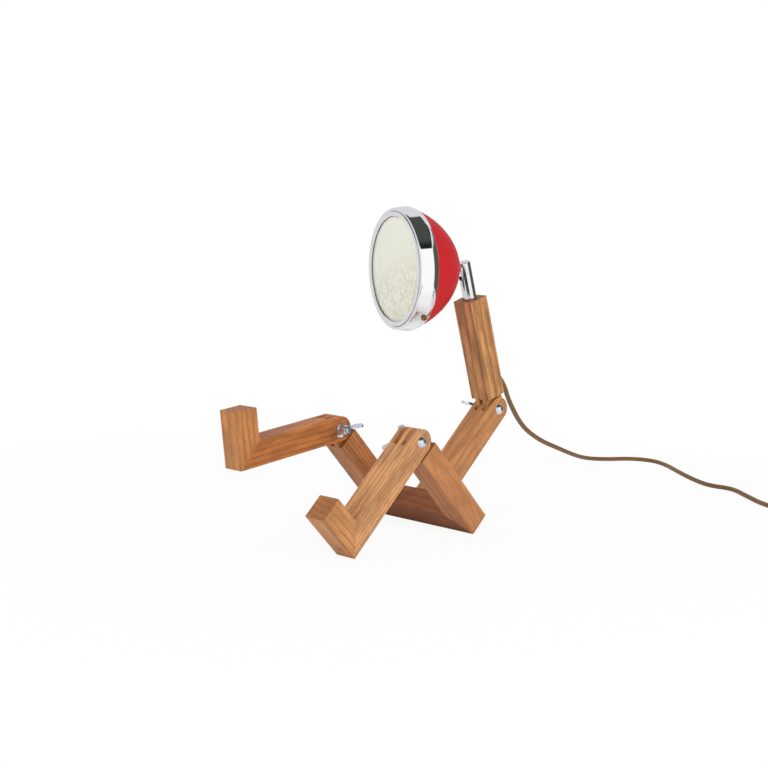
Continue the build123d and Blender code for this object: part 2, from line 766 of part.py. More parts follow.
def route_radii(points):
    """Arc radius at each inner point: 0.45 of the shorter run over the tangent of half the turn."""
    radii = []
    for before, here, after in zip(points, points[1:], points[2:]):
        come, go = Vector(*here) - Vector(*before), Vector(*after) - Vector(*here)
        turn = radians(come.get_angle(go))
        radii.append(0.45 * min(come.length, go.length) / tan(turn / 2))
    return radii


def tube(points, radii, d):
    """Cord along straight runs that arcs join."""
    path = FilletPolyline(*points, radius=radii) if len(points) > 2 else Line(*points)
    section = Plane(origin=path @ 0, z_dir=path % 0) * Circle(d / 2)
    solid = sweep(section, path=path)
    want = pi * d * d / 4 * path.length
    smallest = min(radii) if radii else 0
    ratio = solid.volume / want
    print(f"cord run {path.length:.1f} mm, volume ratio {ratio:.4f}, least radius {smallest:.1f}")
    return solid


def middle(a, b):
    """Point halfway between two points."""
    return tuple((p + q) / 2 for p, q in zip(a, b))


switch_way = Vector(cos(radians(switch_heading)), sin(radians(switch_heading)), 0)
switch_in = Vector(*switch_at, switch_split)
switch_out = switch_in + (switch_length + 2 * switch_boss_length) * switch_way
before_switch = switch_in - switch_lead * switch_way
free_route = [tuple(gland_tip)] + hanging_route + table_route
free_route += [tuple(before_switch), tuple(switch_in)]
free_radii = route_radii(free_route)
print("free route radii", [round(r, 1) for r in free_radii])
parting = len(hanging_route)
landing = middle(free_route[parting], free_route[parting + 1])
keep(
    "cord_hanging",
    tube(free_route[: parting + 1] + [landing], free_radii[:parting], cord_d),
)
keep(
    "cord_on_table",
    tube([landing] + free_route[parting + 1 :], free_radii[parting:], cord_d),
)

coil_outer_turn = coil_middle_r + (coil_turns_across - 1) * cord_r
coil_half_width = coil_turns_across * cord_r + coil_slack
coil_height = coil_layers * cord_d + coil_slack
coil_x, coil_y = coil_middle
coil_low = cord_r + coil_slack / 2
stub_in = (coil_x + coil_outer_turn, coil_y - coil_stub_in, coil_low)
stub_out = (coil_x + coil_outer_turn, coil_y + coil_stub_out, coil_height - coil_low)
coil = Pos(coil_x, coil_y, 0) * (
    rod(2 * (coil_middle_r + coil_half_width), 0, coil_height)
    - rod(2 * (coil_middle_r - coil_half_width), -1, coil_height + 1)
)
coil += Pos(*stub_in) * Rot(-90, 0, 0) * rod(cord_d, 0, coil_stub_in)
coil += Pos(*stub_out) * Rot(90, 0, 0) * rod(cord_d, 0, coil_stub_out)
keep("cord_coil", coil)
turns_length = 2 * pi * coil_middle_r * coil_turns_across * coil_layers
print(f"coil {turns_length:.0f} mm of cord")

after_switch = switch_out + switch_lead * switch_way
before_coil = (stub_in[0], stub_in[1] - coil_lead, stub_in[2])
link_points = [tuple(switch_out), tuple(after_switch)] + link_route + [before_coil, stub_in]
keep("cord_switch_to_coil", tube(link_points, route_radii(link_points), cord_d))
print("link radii", [round(r, 1) for r in route_radii(link_points)])

plug_way = Vector(cos(radians(plug_heading)), sin(radians(plug_heading)), 0)
plug_start = Vector(*plug_at, plug_thickness / 2)
after_coil = (stub_out[0], stub_out[1] + tail_lead, stub_out[2])
before_plug = plug_start - tail_lead * plug_way
tail_points = [stub_out, after_coil, tuple(before_plug), tuple(plug_start)]
keep("cord_tail", tube(tail_points, route_radii(tail_points), cord_d))
print("tail radii", [round(r, 1) for r in route_radii(tail_points)])

# inline rocker switch: two halves, the rocker on its own pin
switch_frame = Pos(*switch_at, 0) * Rot(0, 0, switch_heading)
switch_mid = switch_length / 2 + switch_boss_length
rocker_mid = Pos(switch_mid, 0, 0)
switch_block = rocker_mid * extrude(
    RectangleRounded(switch_length, switch_width, switch_end_round), switch_height
)
switch_block = chamfer(switch_block.edges().group_by(Axis.Z)[-1], 1.2)
switch_block += Pos(0, 0, switch_split) * Rot(0, 90, 0) * rod(switch_boss_d, 0, 2 * switch_mid)
bay = rocker_mid * Pos(0, 0, switch_height - 2.5) * Box(
    rocker_length + 2 * rocker_gap, rocker_width + 2 * rocker_gap, 9.0
)
rocker_z = switch_height - 2.0
rocker_axis = rocker_mid * Pos(0, 0, rocker_z) * Rot(90, 0, 0)
pin_bores = rocker_axis * rod(rocker_pin_d + 2 * running_gap, -rocker_width / 2 - 2, rocker_width / 2 + 2)
halfway = Pos(switch_mid, 0, switch_split / 2) * Box(2 * switch_length, 2 * switch_width, switch_split)
bay_open = switch_block - bay
keep("switch_base", bay_open & halfway, switch_frame)
keep("switch_cover", bay_open - halfway - pin_bores, switch_frame)

rocker_face = [
    (-rocker_length / 2, 0.4),
    (-rocker_length / 2 + rocker_gap, rocker_rise + 1.4),
    (0, rocker_rise + 0.2),
    (rocker_length / 2 - rocker_gap, rocker_rise - 0.6),
    (rocker_length / 2, 0.4),
    (4.0, -2.6),
    (-4.0, -2.6),
]
rocker = outline_prism(Plane.XZ, rocker_face, rocker_width)
rocker += Rot(90, 0, 0) * rod(rocker_pin_d, -rocker_width / 2 - 1.6, rocker_width / 2 + 1.6)
keep("switch_rocker", rocker, switch_frame * rocker_mid * Pos(0, 0, rocker_z))

# flat two-pin plug
plug_frame = Pos(*plug_at, plug_thickness / 2) * Rot(0, 0, plug_heading)
plug_outline = [
    (plug_sleeve_length, -plug_neck / 2),
    (plug_sleeve_length + plug_length * 0.5, -plug_width / 2),
    (plug_sleeve_length + plug_length, -plug_width / 2 + 1.5),
    (plug_sleeve_length + plug_length, plug_width / 2 - 1.5),
    (plug_sleeve_length + plug_length * 0.5, plug_width / 2),
    (plug_sleeve_length, plug_neck / 2),
]
plug_face = fillet(make_face(Polyline(*plug_outline, close=True)).vertices(), 2.0)
plug_body = extrude(plug_face, plug_thickness / 2, both=True)
plug_flats = plug_body.faces().group_by(Axis.Z)
plug_body = fillet(plug_flats[0].edges() + plug_flats[-1].edges(), 1.5)
plug_body += Rot(0, 90, 0) * Cone(
    cord_r + 0.8, 5.0, plug_sleeve_length + 1, align=(Align.CENTER, Align.CENTER, Align.MIN)
)
plug_front = plug_sleeve_length + plug_length
pins = []
for y in (-pin_spacing / 2, pin_spacing / 2):
    way = Pos(0, y, 0) * Rot(0, 90, 0)
    sleeve = rod(pin_sleeve_d, plug_front - 0.5, plug_front + pin_length - pin_bare)
    core = rod(pin_core_d, plug_front - 8, plug_front + pin_length - pin_bare)
    bare = rod(pin_d, plug_front + pin_length - pin_bare, plug_front + pin_length)
    bare = chamfer(bare.edges().group_by(Axis.Z)[-1], 0.5)
    plug_body += way * sleeve
    plug_body -= way * core
    pins.append(way * (core + bare))
keep("plug_body", plug_body, plug_frame)
keep("plug_pins", Compound(children=pins), plug_frame)

# leads inside the chest, the neck and the head
chest_lead_top = chest_length - socket_depth
chest_lead = [(0, half - gland_plug_depth, gland_up), (0, 0, gland_up), (0, 0, chest_lead_top)]
inner_lead = FilletPolyline(*chest_lead, radius=core_d)
lead_section = Plane(origin=inner_lead @ 0, z_dir=inner_lead % 0) * Circle(core_d / 2)
keep("chest_lead", sweep(lead_section, path=inner_lead), chest_frame)
keep("neck_lead", rod(core_d, -socket_depth, window_low), neck_frame)
lead_back = holder_back - lead_d - 2.0
lead_start = (to_head * Pos(0, -3.0, pivot_height)).position
lead_way = (to_head * Pos(0, -4.0, pivot_height)).position - lead_start
lead_turn = lead_start + lead_way * ((lead_back - lead_start.Z) / lead_way.Z)
lead_up = (0, 0, lead_back)
lead_in = (0, 0, holder_back + holder_floor)
head_lead = FilletPolyline(tuple(lead_start), tuple(lead_turn), lead_up, lead_in, radius=lead_bend_r)
lead_section = Plane(origin=head_lead @ 0, z_dir=head_lead % 0) * Circle(lead_d / 2)
keep("head_lead", sweep(lead_section, path=head_lead), head_frame)

# ---------------------------------------------------------------- files
os.makedirs("parts", exist_ok=True)
for name, shape in parts.items():
    export_step(shape, f"parts/{name}.step")


def say(label, place):
    """Prints a place in millimetres."""
    print(label, [round(v, 3) for v in place])


say("hip back", hip_back)
say("knee", knee)
say("waist", waist)
say("gland tip", gland_tip)
say("neck base", neck_frame.position)
say("neck axis", (neck_frame * Pos(0, 0, 1)).position - neck_frame.position)
say("tilt pivot", (neck_frame * Pos(0, 0, pivot_height)).position)
say("tilt axis", (neck_frame * Pos(1, 0, 0)).position - neck_frame.position)
say("shell mouth", head_frame.position)
say("head axis", (head_frame * Pos(0, 0, 1)).position - head_frame.position)
say("rocker axis at", (switch_frame * rocker_mid * Pos(0, 0, rocker_z)).position)
print("left shin falls", round(left_shin_fall, 3))
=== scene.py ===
import json
import math

import bmesh
import bpy
from mathutils import Euler, Matrix, Vector


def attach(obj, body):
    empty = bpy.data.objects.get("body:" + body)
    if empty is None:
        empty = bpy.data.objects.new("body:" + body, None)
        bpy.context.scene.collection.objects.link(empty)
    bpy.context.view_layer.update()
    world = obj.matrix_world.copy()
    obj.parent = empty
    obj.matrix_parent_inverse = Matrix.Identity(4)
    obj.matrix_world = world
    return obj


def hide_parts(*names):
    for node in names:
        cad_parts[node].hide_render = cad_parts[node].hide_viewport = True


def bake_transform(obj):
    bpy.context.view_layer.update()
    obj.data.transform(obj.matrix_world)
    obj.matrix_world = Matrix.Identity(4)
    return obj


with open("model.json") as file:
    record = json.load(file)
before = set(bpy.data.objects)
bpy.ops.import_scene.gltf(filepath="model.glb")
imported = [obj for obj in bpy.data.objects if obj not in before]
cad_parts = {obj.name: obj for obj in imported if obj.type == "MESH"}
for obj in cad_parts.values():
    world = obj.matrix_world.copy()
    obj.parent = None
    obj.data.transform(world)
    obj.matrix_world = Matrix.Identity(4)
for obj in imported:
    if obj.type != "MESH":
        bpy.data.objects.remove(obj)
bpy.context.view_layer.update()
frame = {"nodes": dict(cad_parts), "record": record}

# ------------------------------------------------------------------ studio
# A white sweep with soft boxes round it. Polished metal also sees what stands about a real table: a white
# board in a grey room, a dark ceiling, a dim doorway and a flag on the floor, hidden from every other ray.
scene = bpy.context.scene
scene.view_settings.view_transform = "Standard"


def placed(name, data):
    """An object of that name in the scene, at the origin."""
    made = bpy.data.objects.new(name, data)
    scene.collection.objects.link(made)
    return made


camera_place = Vector((1.07252, -1.07316, 0.33301))
camera_right = Vector((0.703396, 0.710543, 0.019021))
camera_up = Vector((-0.092733, 0.065203, 0.993554))
camera_back = Vector((0.704723, -0.700626, 0.111754))
camera_data = bpy.data.cameras.new("camera")
camera_data.sensor_width = 36.0
camera_data.lens = 64.867
camera = placed("camera", camera_data)
turn = Matrix((camera_right, camera_up, camera_back)).transposed()
camera.matrix_world = Matrix.Translation(camera_place) @ turn.to_4x4()
scene.camera = camera


def feed(tree, socket, value):
    """Joins another node's output to an input socket, or gives the socket a value."""
    if isinstance(value, bpy.types.NodeSocket):
        tree.links.new(value, socket)
    else:
        socket.default_value = value


def fill(tree, node, **sockets):
    """Feeds a node's inputs by name, with an underscore for each space; returns the node."""
    for name, value in sockets.items():
        feed(tree, node.inputs[name.replace("_", " ")], value)
    return node


def add(tree, kind, **settings):
    """A node; settings name its properties or, with an underscore in front, its sockets."""
    made = tree.nodes.new(kind)
    for name, value in settings.items():
        if name.startswith("_"):
            fill(tree, made, **{name[1:]: value})
        else:
            setattr(made, name, value)
    return made


def calc(tree, operation, *values):
    """Math node on sockets or numbers; returns its result."""
    made = add(tree, "ShaderNodeMath", operation=operation)
    for socket, value in zip(made.inputs, values):
        feed(tree, socket, value)
    return made.outputs[0]


def vector_calc(tree, operation, *values, result="Vector"):
    """Vector math node on sockets or triples; returns the named result."""
    made = add(tree, "ShaderNodeVectorMath", operation=operation)
    for socket, value in zip(made.inputs, values):
        feed(tree, socket, value)
    return made.outputs[result]


def eased(tree, value, start, end, low=0.0, high=1.0):
    """Smooth step of a value: low before start, high after end."""
    made = add(tree, "ShaderNodeMapRange", interpolation_type="SMOOTHSTEP", _Value=value)
    fill(tree, made, From_Min=start, From_Max=end, To_Min=low, To_Max=high)
    return made.outputs[0]


def mix_colour(tree, factor, first, second, way="MIX"):
    """Colour between two; each may be a socket or a colour."""
    made = add(tree, "ShaderNodeMix", data_type="RGBA", blend_type=way, _Factor=factor, _A=first, _B=second)
    return made.outputs["Result"]


def shader_mix(tree, factor, first, second):
    """The first shader where the factor is 0, the second where it is 1."""
    made = add(tree, "ShaderNodeMixShader")
    for socket, value in zip(made.inputs, (factor, first.outputs[0], second.outputs[0])):
        feed(tree, socket, value)
    return made


def between(first, last):
    """The two planes that bound a sector of the horizon; degrees from +X towards +Y."""
    low = math.radians(first)
    high = math.radians(last)
    softness = 0.02
    first_plane = ((-math.sin(low), math.cos(low), 0.0), 0.0, softness)
    last_plane = ((math.sin(high), -math.cos(high), 0.0), 0.0, softness)
    return [first_plane, last_plane]


# what polished metal sees: colour, then the planes that bound it, as (direction, least cosine, softness)
room_grey = (0.70, 0.695, 0.715, 1)
up = (0.0, 0.0, 1.0)
down = (0.0, 0.0, -1.0)
ceiling_edge = (up, 0.60, 0.012)
ceiling_end = ((0.793, -0.535, -0.291), -0.609, 0.03)
mirrored_things = [
    ((1.0, 1.0, 1.0, 1), between(-75, 24)),
    ((0.060, 0.068, 0.062, 1), [ceiling_edge, ceiling_end]),
    ((0.016, 0.016, 0.018, 1), [ceiling_edge, (down, -0.74, 0.07), ceiling_end]),
    ((0.085, 0.095, 0.070, 1), between(28, 100) + [(up, -0.37, 0.03), (down, -0.47, 0.03)]),
]
world = bpy.data.worlds.new("studio")
scene.world = world
world.use_nodes = True
sky = world.node_tree
sky.nodes.clear()
rays = add(sky, "ShaderNodeLightPath").outputs
heading = add(sky, "ShaderNodeTexCoord").outputs["Generated"]
seen_colour = mix_colour(sky, rays["Is Glossy Ray"], (1.0, 1.0, 1.0, 1), room_grey)
for colour, planes in mirrored_things:
    inside = rays["Is Glossy Ray"]
    for direction, least, softness in planes:
        along = vector_calc(sky, "DOT_PRODUCT", heading, direction, result="Value")
        inside = calc(sky, "MULTIPLY", inside, eased(sky, along, least - softness, least + softness))
    seen_colour = mix_colour(sky, inside, seen_colour, colour)
mirrored = calc(sky, "MAXIMUM", rays["Is Glossy Ray"], rays["Is Transmission Ray"])
seen = calc(sky, "MAXIMUM", mirrored, rays["Is Camera Ray"])
sky_fill = add(sky, "ShaderNodeBackground", _Color=(0.94, 0.97, 1.0, 1), _Strength=0.62)
sky_seen = add(sky, "ShaderNodeBackground", _Color=seen_colour, _Strength=1.0)
add(sky, "ShaderNodeOutputWorld", _Surface=shader_mix(sky, seen, sky_fill, sky_seen).outputs[0])


def flat_board(name, corners):
    """One flat face through its corners."""
    mesh = bpy.data.meshes.new(name)
    mesh.from_pydata(corners, [], [tuple(range(len(corners)))])
    board = placed(name, mesh)
    return board


floor_reach = 60.0
corner_signs = ((-1, -1), (1, -1), (1, 1), (-1, 1))
floor_corners = [(side * floor_reach, end * floor_reach, 0) for side, end in corner_signs]
floor = flat_board("floor", floor_corners)
floor_paint = bpy.data.materials.new("white_sweep")
floor_paint.use_nodes = True
tree = floor_paint.node_tree
tree.nodes.clear()
rays = add(tree, "ShaderNodeLightPath").outputs
floor_spot = add(tree, "ShaderNodeTexCoord").outputs["Object"]
far_off = vector_calc(tree, "LENGTH", floor_spot, result="Value")
near_share = 0.90
whitens = (0.45, 1.0)
clears = (0.26, 0.46)
by_camera = calc(tree, "MULTIPLY_ADD", eased(tree, far_off, *whitens), 1.0 - near_share, near_share)
by_camera = calc(tree, "MULTIPLY", by_camera, rays["Is Camera Ray"])
paint = add(tree, "ShaderNodeBsdfDiffuse", _Color=(0.93, 0.93, 0.93, 1))
glow = add(tree, "ShaderNodeEmission", _Color=(1, 1, 1, 1), _Strength=1.0)
lit_floor = shader_mix(tree, by_camera, paint, glow)
# polished metal sees the room past the sweep's far part
by_mirror = calc(tree, "MULTIPLY", eased(tree, far_off, *clears), rays["Is Glossy Ray"])
cleared = shader_mix(tree, by_mirror, lit_floor, add(tree, "ShaderNodeBsdfTransparent"))
add(tree, "ShaderNodeOutputMaterial", _Surface=cleared.outputs[0])
floor.data.materials.append(floor_paint)


def plain_material(name):
    """A material with one Principled shader; returns it, its tree, its shader and its Object coordinates."""
    material = bpy.data.materials.new(name)
    material.use_nodes = True
    tree = material.node_tree
    return material, tree, tree.nodes["Principled BSDF"], add(tree, "ShaderNodeTexCoord").outputs["Object"]


flag_lift = 0.004
flag_corners = [(0.10, -0.36), (0.32, -0.32), (0.60, -0.20), (0.52, -0.13), (0.28, -0.235), (0.10, -0.265)]
flag = flat_board("floor_flag", [(x, y, flag_lift) for x, y in flag_corners])
flag_cloth, tree, shader = plain_material("black_flag")[:3]
fill(tree, shader, Base_Color=(0.02, 0.02, 0.025, 1), Roughness=1.0)
flag.data.materials.append(flag_cloth)
flag.visible_camera = False
flag.visible_diffuse = False
flag.visible_shadow = False
flag.visible_transmission = False

middle_of_figure = Vector((0.0, 0.0, 0.16))


def soft_box(name, place, size, power):
    """Round area lamp turned towards the figure. Mirrors see the boards and the room, not the lamps."""
    data = bpy.data.lights.new(name, "AREA")
    data.shape = "DISK"
    data.size = size
    data.energy = power
    lamp = placed(name, data)
    aim = (middle_of_figure - Vector(place)).to_track_quat("-Z", "Y")
    lamp.matrix_world = Matrix.Translation(place) @ aim.to_matrix().to_4x4()
    lamp.visible_glossy = False


soft_box("front_box", (-0.5, -2.2, 1.7), 1.5, 21)
soft_box("right_box", (2.5, -0.3, 1.0), 1.3, 30)
soft_box("rear_box", (-1.2, 2.2, 1.7), 1.4, 11)

# ------------------------------------------------------------------ mains cord
# Two-core flex in a brown braided textile sleeve, 5.8 mm thick and 2 m long. It leaves the boot on the
# chest's back, hangs to the table, and runs through the inline switch. Its spare length lies in a tied coil
# of four turns, two below and two on top of them.
cord_thickness = 0.0058
on_table = 0.0029
in_switch = 0.0065
in_plug = 0.00685
gland_tip = (0.003897, 0.179876, 0.161804)
switch_in = (0.2756, 0.4066, in_switch)
switch_out = (0.325171, 0.360050, in_switch)
plug_entry = (0.3565, 0.4965, in_plug)
lamp_to_switch = [
    gland_tip,
    (0.0009, 0.1956, 0.1499),
    (-0.0128, 0.2210, 0.1270),
    (-0.0243, 0.2620, 0.0895),
    (-0.0398, 0.3180, 0.0648),
    (-0.0595, 0.3810, 0.0461),
    (-0.0844, 0.4520, 0.0255),
    (-0.1160, 0.5240, 0.0094),
    (-0.1180, 0.5725, on_table),
    (-0.1000, 0.6065, on_table),
    (-0.0680, 0.6180, on_table),
    (-0.0340, 0.6017, on_table),
    (0.0080, 0.5674, on_table),
    (0.0600, 0.5282, on_table),
    (0.0980, 0.5070, on_table),
    (0.1280, 0.5130, on_table),
    (0.1680, 0.4813, on_table),
    (0.2120, 0.4478, on_table),
    (0.261968, 0.419401, in_switch),
    switch_in,
]
coil_centre = (0.3442, 0.4200)
coil_outer = 0.0349
coil_inner = 0.0291
coil_low = 0.0030
coil_high = 0.0088
coil_lanes = [(coil_outer, coil_low), (coil_inner, coil_low)]
coil_lanes += [(coil_inner, coil_high), (coil_outer, coil_high)]
points_a_turn = 15
points_a_shift = 3


def coil_points():
    """Control points of the coil's four turns: out and in along the bottom, then in and out on top of it."""
    step = math.radians(360 / points_a_turn)
    # a spline of this order runs inside its control points, so they lie further out by this factor
    swell = 1 / (0.75 + 0.25 * math.cos(step))
    found = []
    for number in range(1, len(coil_lanes) * points_a_turn):
        lane, along = divmod(number, points_a_turn)
        radius, height = coil_lanes[lane]
        shift = max(0, along - points_a_turn + points_a_shift) / points_a_shift
        if shift and lane + 1 < len(coil_lanes):
            radius += (coil_lanes[lane + 1][0] - radius) * shift
            height += (coil_lanes[lane + 1][1] - height) * shift
        x = coil_centre[0] + swell * radius * math.cos(number * step)
        y = coil_centre[1] + swell * radius * math.sin(number * step)
        found.append((x, y, height))
    return found


coil_edge = coil_centre[0] + coil_outer
switch_to_plug = [
    switch_out,
    (0.338803, 0.347249, in_switch),
    (0.3625, 0.3477, coil_low),
    (coil_edge, 0.3646, coil_low),
    (coil_edge, 0.3880, coil_low),
    (coil_edge, 0.4080, coil_low),
    *coil_points(),
    (coil_edge, 0.4320, coil_high),
    (coil_edge, 0.4620, coil_high),
    (0.37064, 0.48236, in_plug),
    plug_entry,
]


def evaluated_mesh(thing):
    """Plain mesh of what an object evaluates to."""
    bpy.context.view_layer.update()
    return bpy.data.meshes.new_from_object(thing.evaluated_get(bpy.context.evaluated_depsgraph_get()))


def cord_line(name, route):
    """Smooth line of a cord: its route's points are the spline's control points."""
    curve = bpy.data.curves.new(name, "CURVE")
    curve.dimensions = "3D"
    curve.resolution_u = 12
    spline = curve.splines.new("NURBS")
    spline.points.add(len(route) - 1)
    for point, place in zip(spline.points, route):
        point.co = (*place, 1.0)
    spline.order_u = 3
    spline.use_endpoint_u = True
    sampled = evaluated_mesh(placed(name, curve))
    places = [v.co.copy() for v in sampled.vertices]
    bpy.data.meshes.remove(sampled)
    bpy.data.curves.remove(curve)
    return places


def braided_tube(name, line, radius, sides, material):
    """Tube round a line, with its own UV map: U is the length in metres and V goes once round."""
    mesh = bpy.data.meshes.new(name)
    shape = bmesh.new()
    uv = shape.loops.layers.uv.new("along")
    ways = [(after - before).normalized() for before, after in zip(line[:1] + line, line[1:] + line[-1:])]
    side = ways[0].orthogonal().normalized()
    turns = [2 * math.pi * k / sides for k in range(sides)]
    rings = []
    lengths = [0.0]
    for number, place in enumerate(line):
        if number:
            lengths.append(lengths[-1] + (place - line[number - 1]).length)
            side = (side - ways[number] * side.dot(ways[number])).normalized()
        across = ways[number].cross(side)
        spokes = [math.cos(a) * side + math.sin(a) * across for a in turns]
        rings.append([shape.verts.new(place + radius * spoke) for spoke in spokes])
    for number in range(len(rings) - 1):
        for k in range(sides):
            corners = ((number, k), (number, k + 1), (number + 1, k + 1), (number + 1, k))
            face = shape.faces.new([rings[row][spot % sides] for row, spot in corners])
            face.smooth = True
            for loop, (row, spot) in zip(face.loops, corners):
                loop[uv].uv = (lengths[row], spot / sides)
    shape.faces.new(list(reversed(rings[0])))
    shape.faces.new(rings[-1])
    shape.to_mesh(mesh)
    shape.free()
    mesh.materials.append(material)
    return placed(name, mesh)


def dent(tree, shader, height, strength, distance, **settings):
    """Bump on a shader; the distance is in metres."""
    bump = add(tree, "ShaderNodeBump", _Strength=strength, _Distance=distance, _Height=height, **settings)
    fill(tree, shader, Normal=bump.outputs["Normal"])


def braid_material():
    """Textile sleeve: two sets of yarns cross round the cord, bronze over dark brown."""
    material, tree, shader, spot = plain_material("braided_textile")
    on_sleeve = add(tree, "ShaderNodeUVMap", uv_map="along").outputs["UV"]
    split = add(tree, "ShaderNodeSeparateXYZ", _Vector=on_sleeve)
    crossings_a_metre = 420.0
    yarns_each_way = 8.0
    along = calc(tree, "MULTIPLY", split.outputs["X"], crossings_a_metre)
    sets = []
    for hand in (1, -1):
        round_it = calc(tree, "MULTIPLY", split.outputs["Y"], yarns_each_way * hand)
        sets.append(calc(tree, "PINGPONG", calc(tree, "ADD", along, round_it), 0.5))
    over = calc(tree, "MAXIMUM", *sets)
    ramp = add(tree, "ShaderNodeValToRGB", _Fac=over)
    under_yarn, over_yarn = ramp.color_ramp.elements
    under_yarn.position = 0.12
    under_yarn.color = (0.034, 0.013, 0.004, 1)
    over_yarn.position = 0.5
    over_yarn.color = (0.43, 0.205, 0.060, 1)
    tone = add(tree, "ShaderNodeTexNoise", _Vector=spot, _Scale=38.0, _Detail=2.0)
    colour = mix_colour(tree, 0.5, ramp.outputs["Color"], tone.outputs["Color"], "MULTIPLY")
    fill(tree, shader, Base_Color=colour, Roughness=0.55, Sheen_Weight=0.04, Sheen_Tint=(0.8, 0.55, 0.3, 1))
    dent(tree, shader, over, 0.5, 0.0003)
    return material


braid = braid_material()
first_line = cord_line("first_line", lamp_to_switch)
second_line = cord_line("second_line", switch_to_plug)
cord_sides = 16
cord_to_switch = braided_tube("mains_cord", first_line, cord_thickness / 2, cord_sides, braid)
cord_to_plug = braided_tube("mains_cord_coiled", second_line, cord_thickness / 2, cord_sides, braid)


# ------------------------------------------------------------------ oak beams
# Oiled oak, 28 mm square, planed and eased. Each beam is cut from its own board, so its rings lie their own
# way and its tone is its own. Fingers and mitres are sawn, and their fresh arrises are broken with a pass of
# fine paper.
def stretched_noise(tree, vector, stretch, detail, rough=0.55):
    """Noise whose scale differs along the three axes, one number for each axis, per millimetre."""
    scaled = vector_calc(tree, "MULTIPLY", vector, stretch)
    made = add(tree, "ShaderNodeTexNoise", _Vector=scaled, _Scale=1.0, _Detail=detail, _Roughness=rough)
    return made.outputs["Fac"]


def oak_grain_group():
    """Growth rings, open pores and tone of oak. The vector is in metres, with the grain along Z."""
    group = bpy.data.node_groups.new("oak_grain", "ShaderNodeTree")
    group.interface.new_socket("Vector", in_out="INPUT", socket_type="NodeSocketVector")
    for title in ("Heart X", "Heart Y", "Ring Width", "Waver", "Offset"):
        group.interface.new_socket(title, in_out="INPUT", socket_type="NodeSocketFloat")
    for title in ("Rings", "Pores", "Tone"):
        group.interface.new_socket(title, in_out="OUTPUT", socket_type="NodeSocketFloat")
    given = group.nodes.new("NodeGroupInput").outputs
    scaled = add(group, "ShaderNodeVectorMath", operation="SCALE", _Vector=given["Vector"], _Scale=1000.0)
    to_mm = scaled.outputs[0]
    shift = add(group, "ShaderNodeCombineXYZ", _X=given["Offset"], _Z=given["Offset"])
    board = vector_calc(group, "ADD", to_mm, shift.outputs[0])
    split = add(group, "ShaderNodeSeparateXYZ", _Vector=to_mm).outputs

    # distance from the tree's heart, bent slowly and rippled quickly, counted in years
    slow = stretched_noise(group, board, (0.012, 0.012, 0.0075), 1.0)
    quick = stretched_noise(group, board, (0.11, 0.11, 0.016), 2.0)
    x = calc(group, "SUBTRACT", split["X"], given["Heart X"])
    y = calc(group, "SUBTRACT", split["Y"], given["Heart Y"])
    square = calc(group, "ADD", calc(group, "MULTIPLY", x, x), calc(group, "MULTIPLY", y, y))
    reach = calc(group, "SQRT", square)
    for noise, share in ((slow, 4.0), (quick, 0.45)):
        sway = calc(group, "MULTIPLY", given["Waver"], share)
        reach = calc(group, "ADD", reach, calc(group, "MULTIPLY", calc(group, "SUBTRACT", noise, 0.5), sway))
    years = calc(group, "DIVIDE", reach, given["Ring Width"])

    # a ring darkens towards its end, breaks off sharply, and some years are darker than others
    age = calc(group, "FRACT", years)
    late = calc(group, "POWER", age, 4.5)
    fresh = eased(group, age, 0.0, 0.10, 1.0, 0.0)
    year = add(group, "ShaderNodeTexWhiteNoise", noise_dimensions="1D", _W=calc(group, "FLOOR", years))
    strength = calc(group, "ADD", calc(group, "MULTIPLY", year.outputs["Value"], 0.6), 0.4)
    dark = calc(group, "MULTIPLY", calc(group, "MAXIMUM", late, fresh), strength)
    pore_line = eased(group, stretched_noise(group, board, (1.35, 1.35, 0.085), 3.0, 0.7), 0.54, 0.66)
    porous = calc(group, "ADD", calc(group, "MULTIPLY", dark, 0.6), 0.4)
    pores = calc(group, "MULTIPLY", pore_line, porous)
    tone = stretched_noise(group, board, (0.10, 0.10, 0.026), 4.0, 0.62)
    add(group, "NodeGroupOutput", _Rings=dark, _Pores=pores, _Tone=tone)
    return group


oak_grain = oak_grain_group()


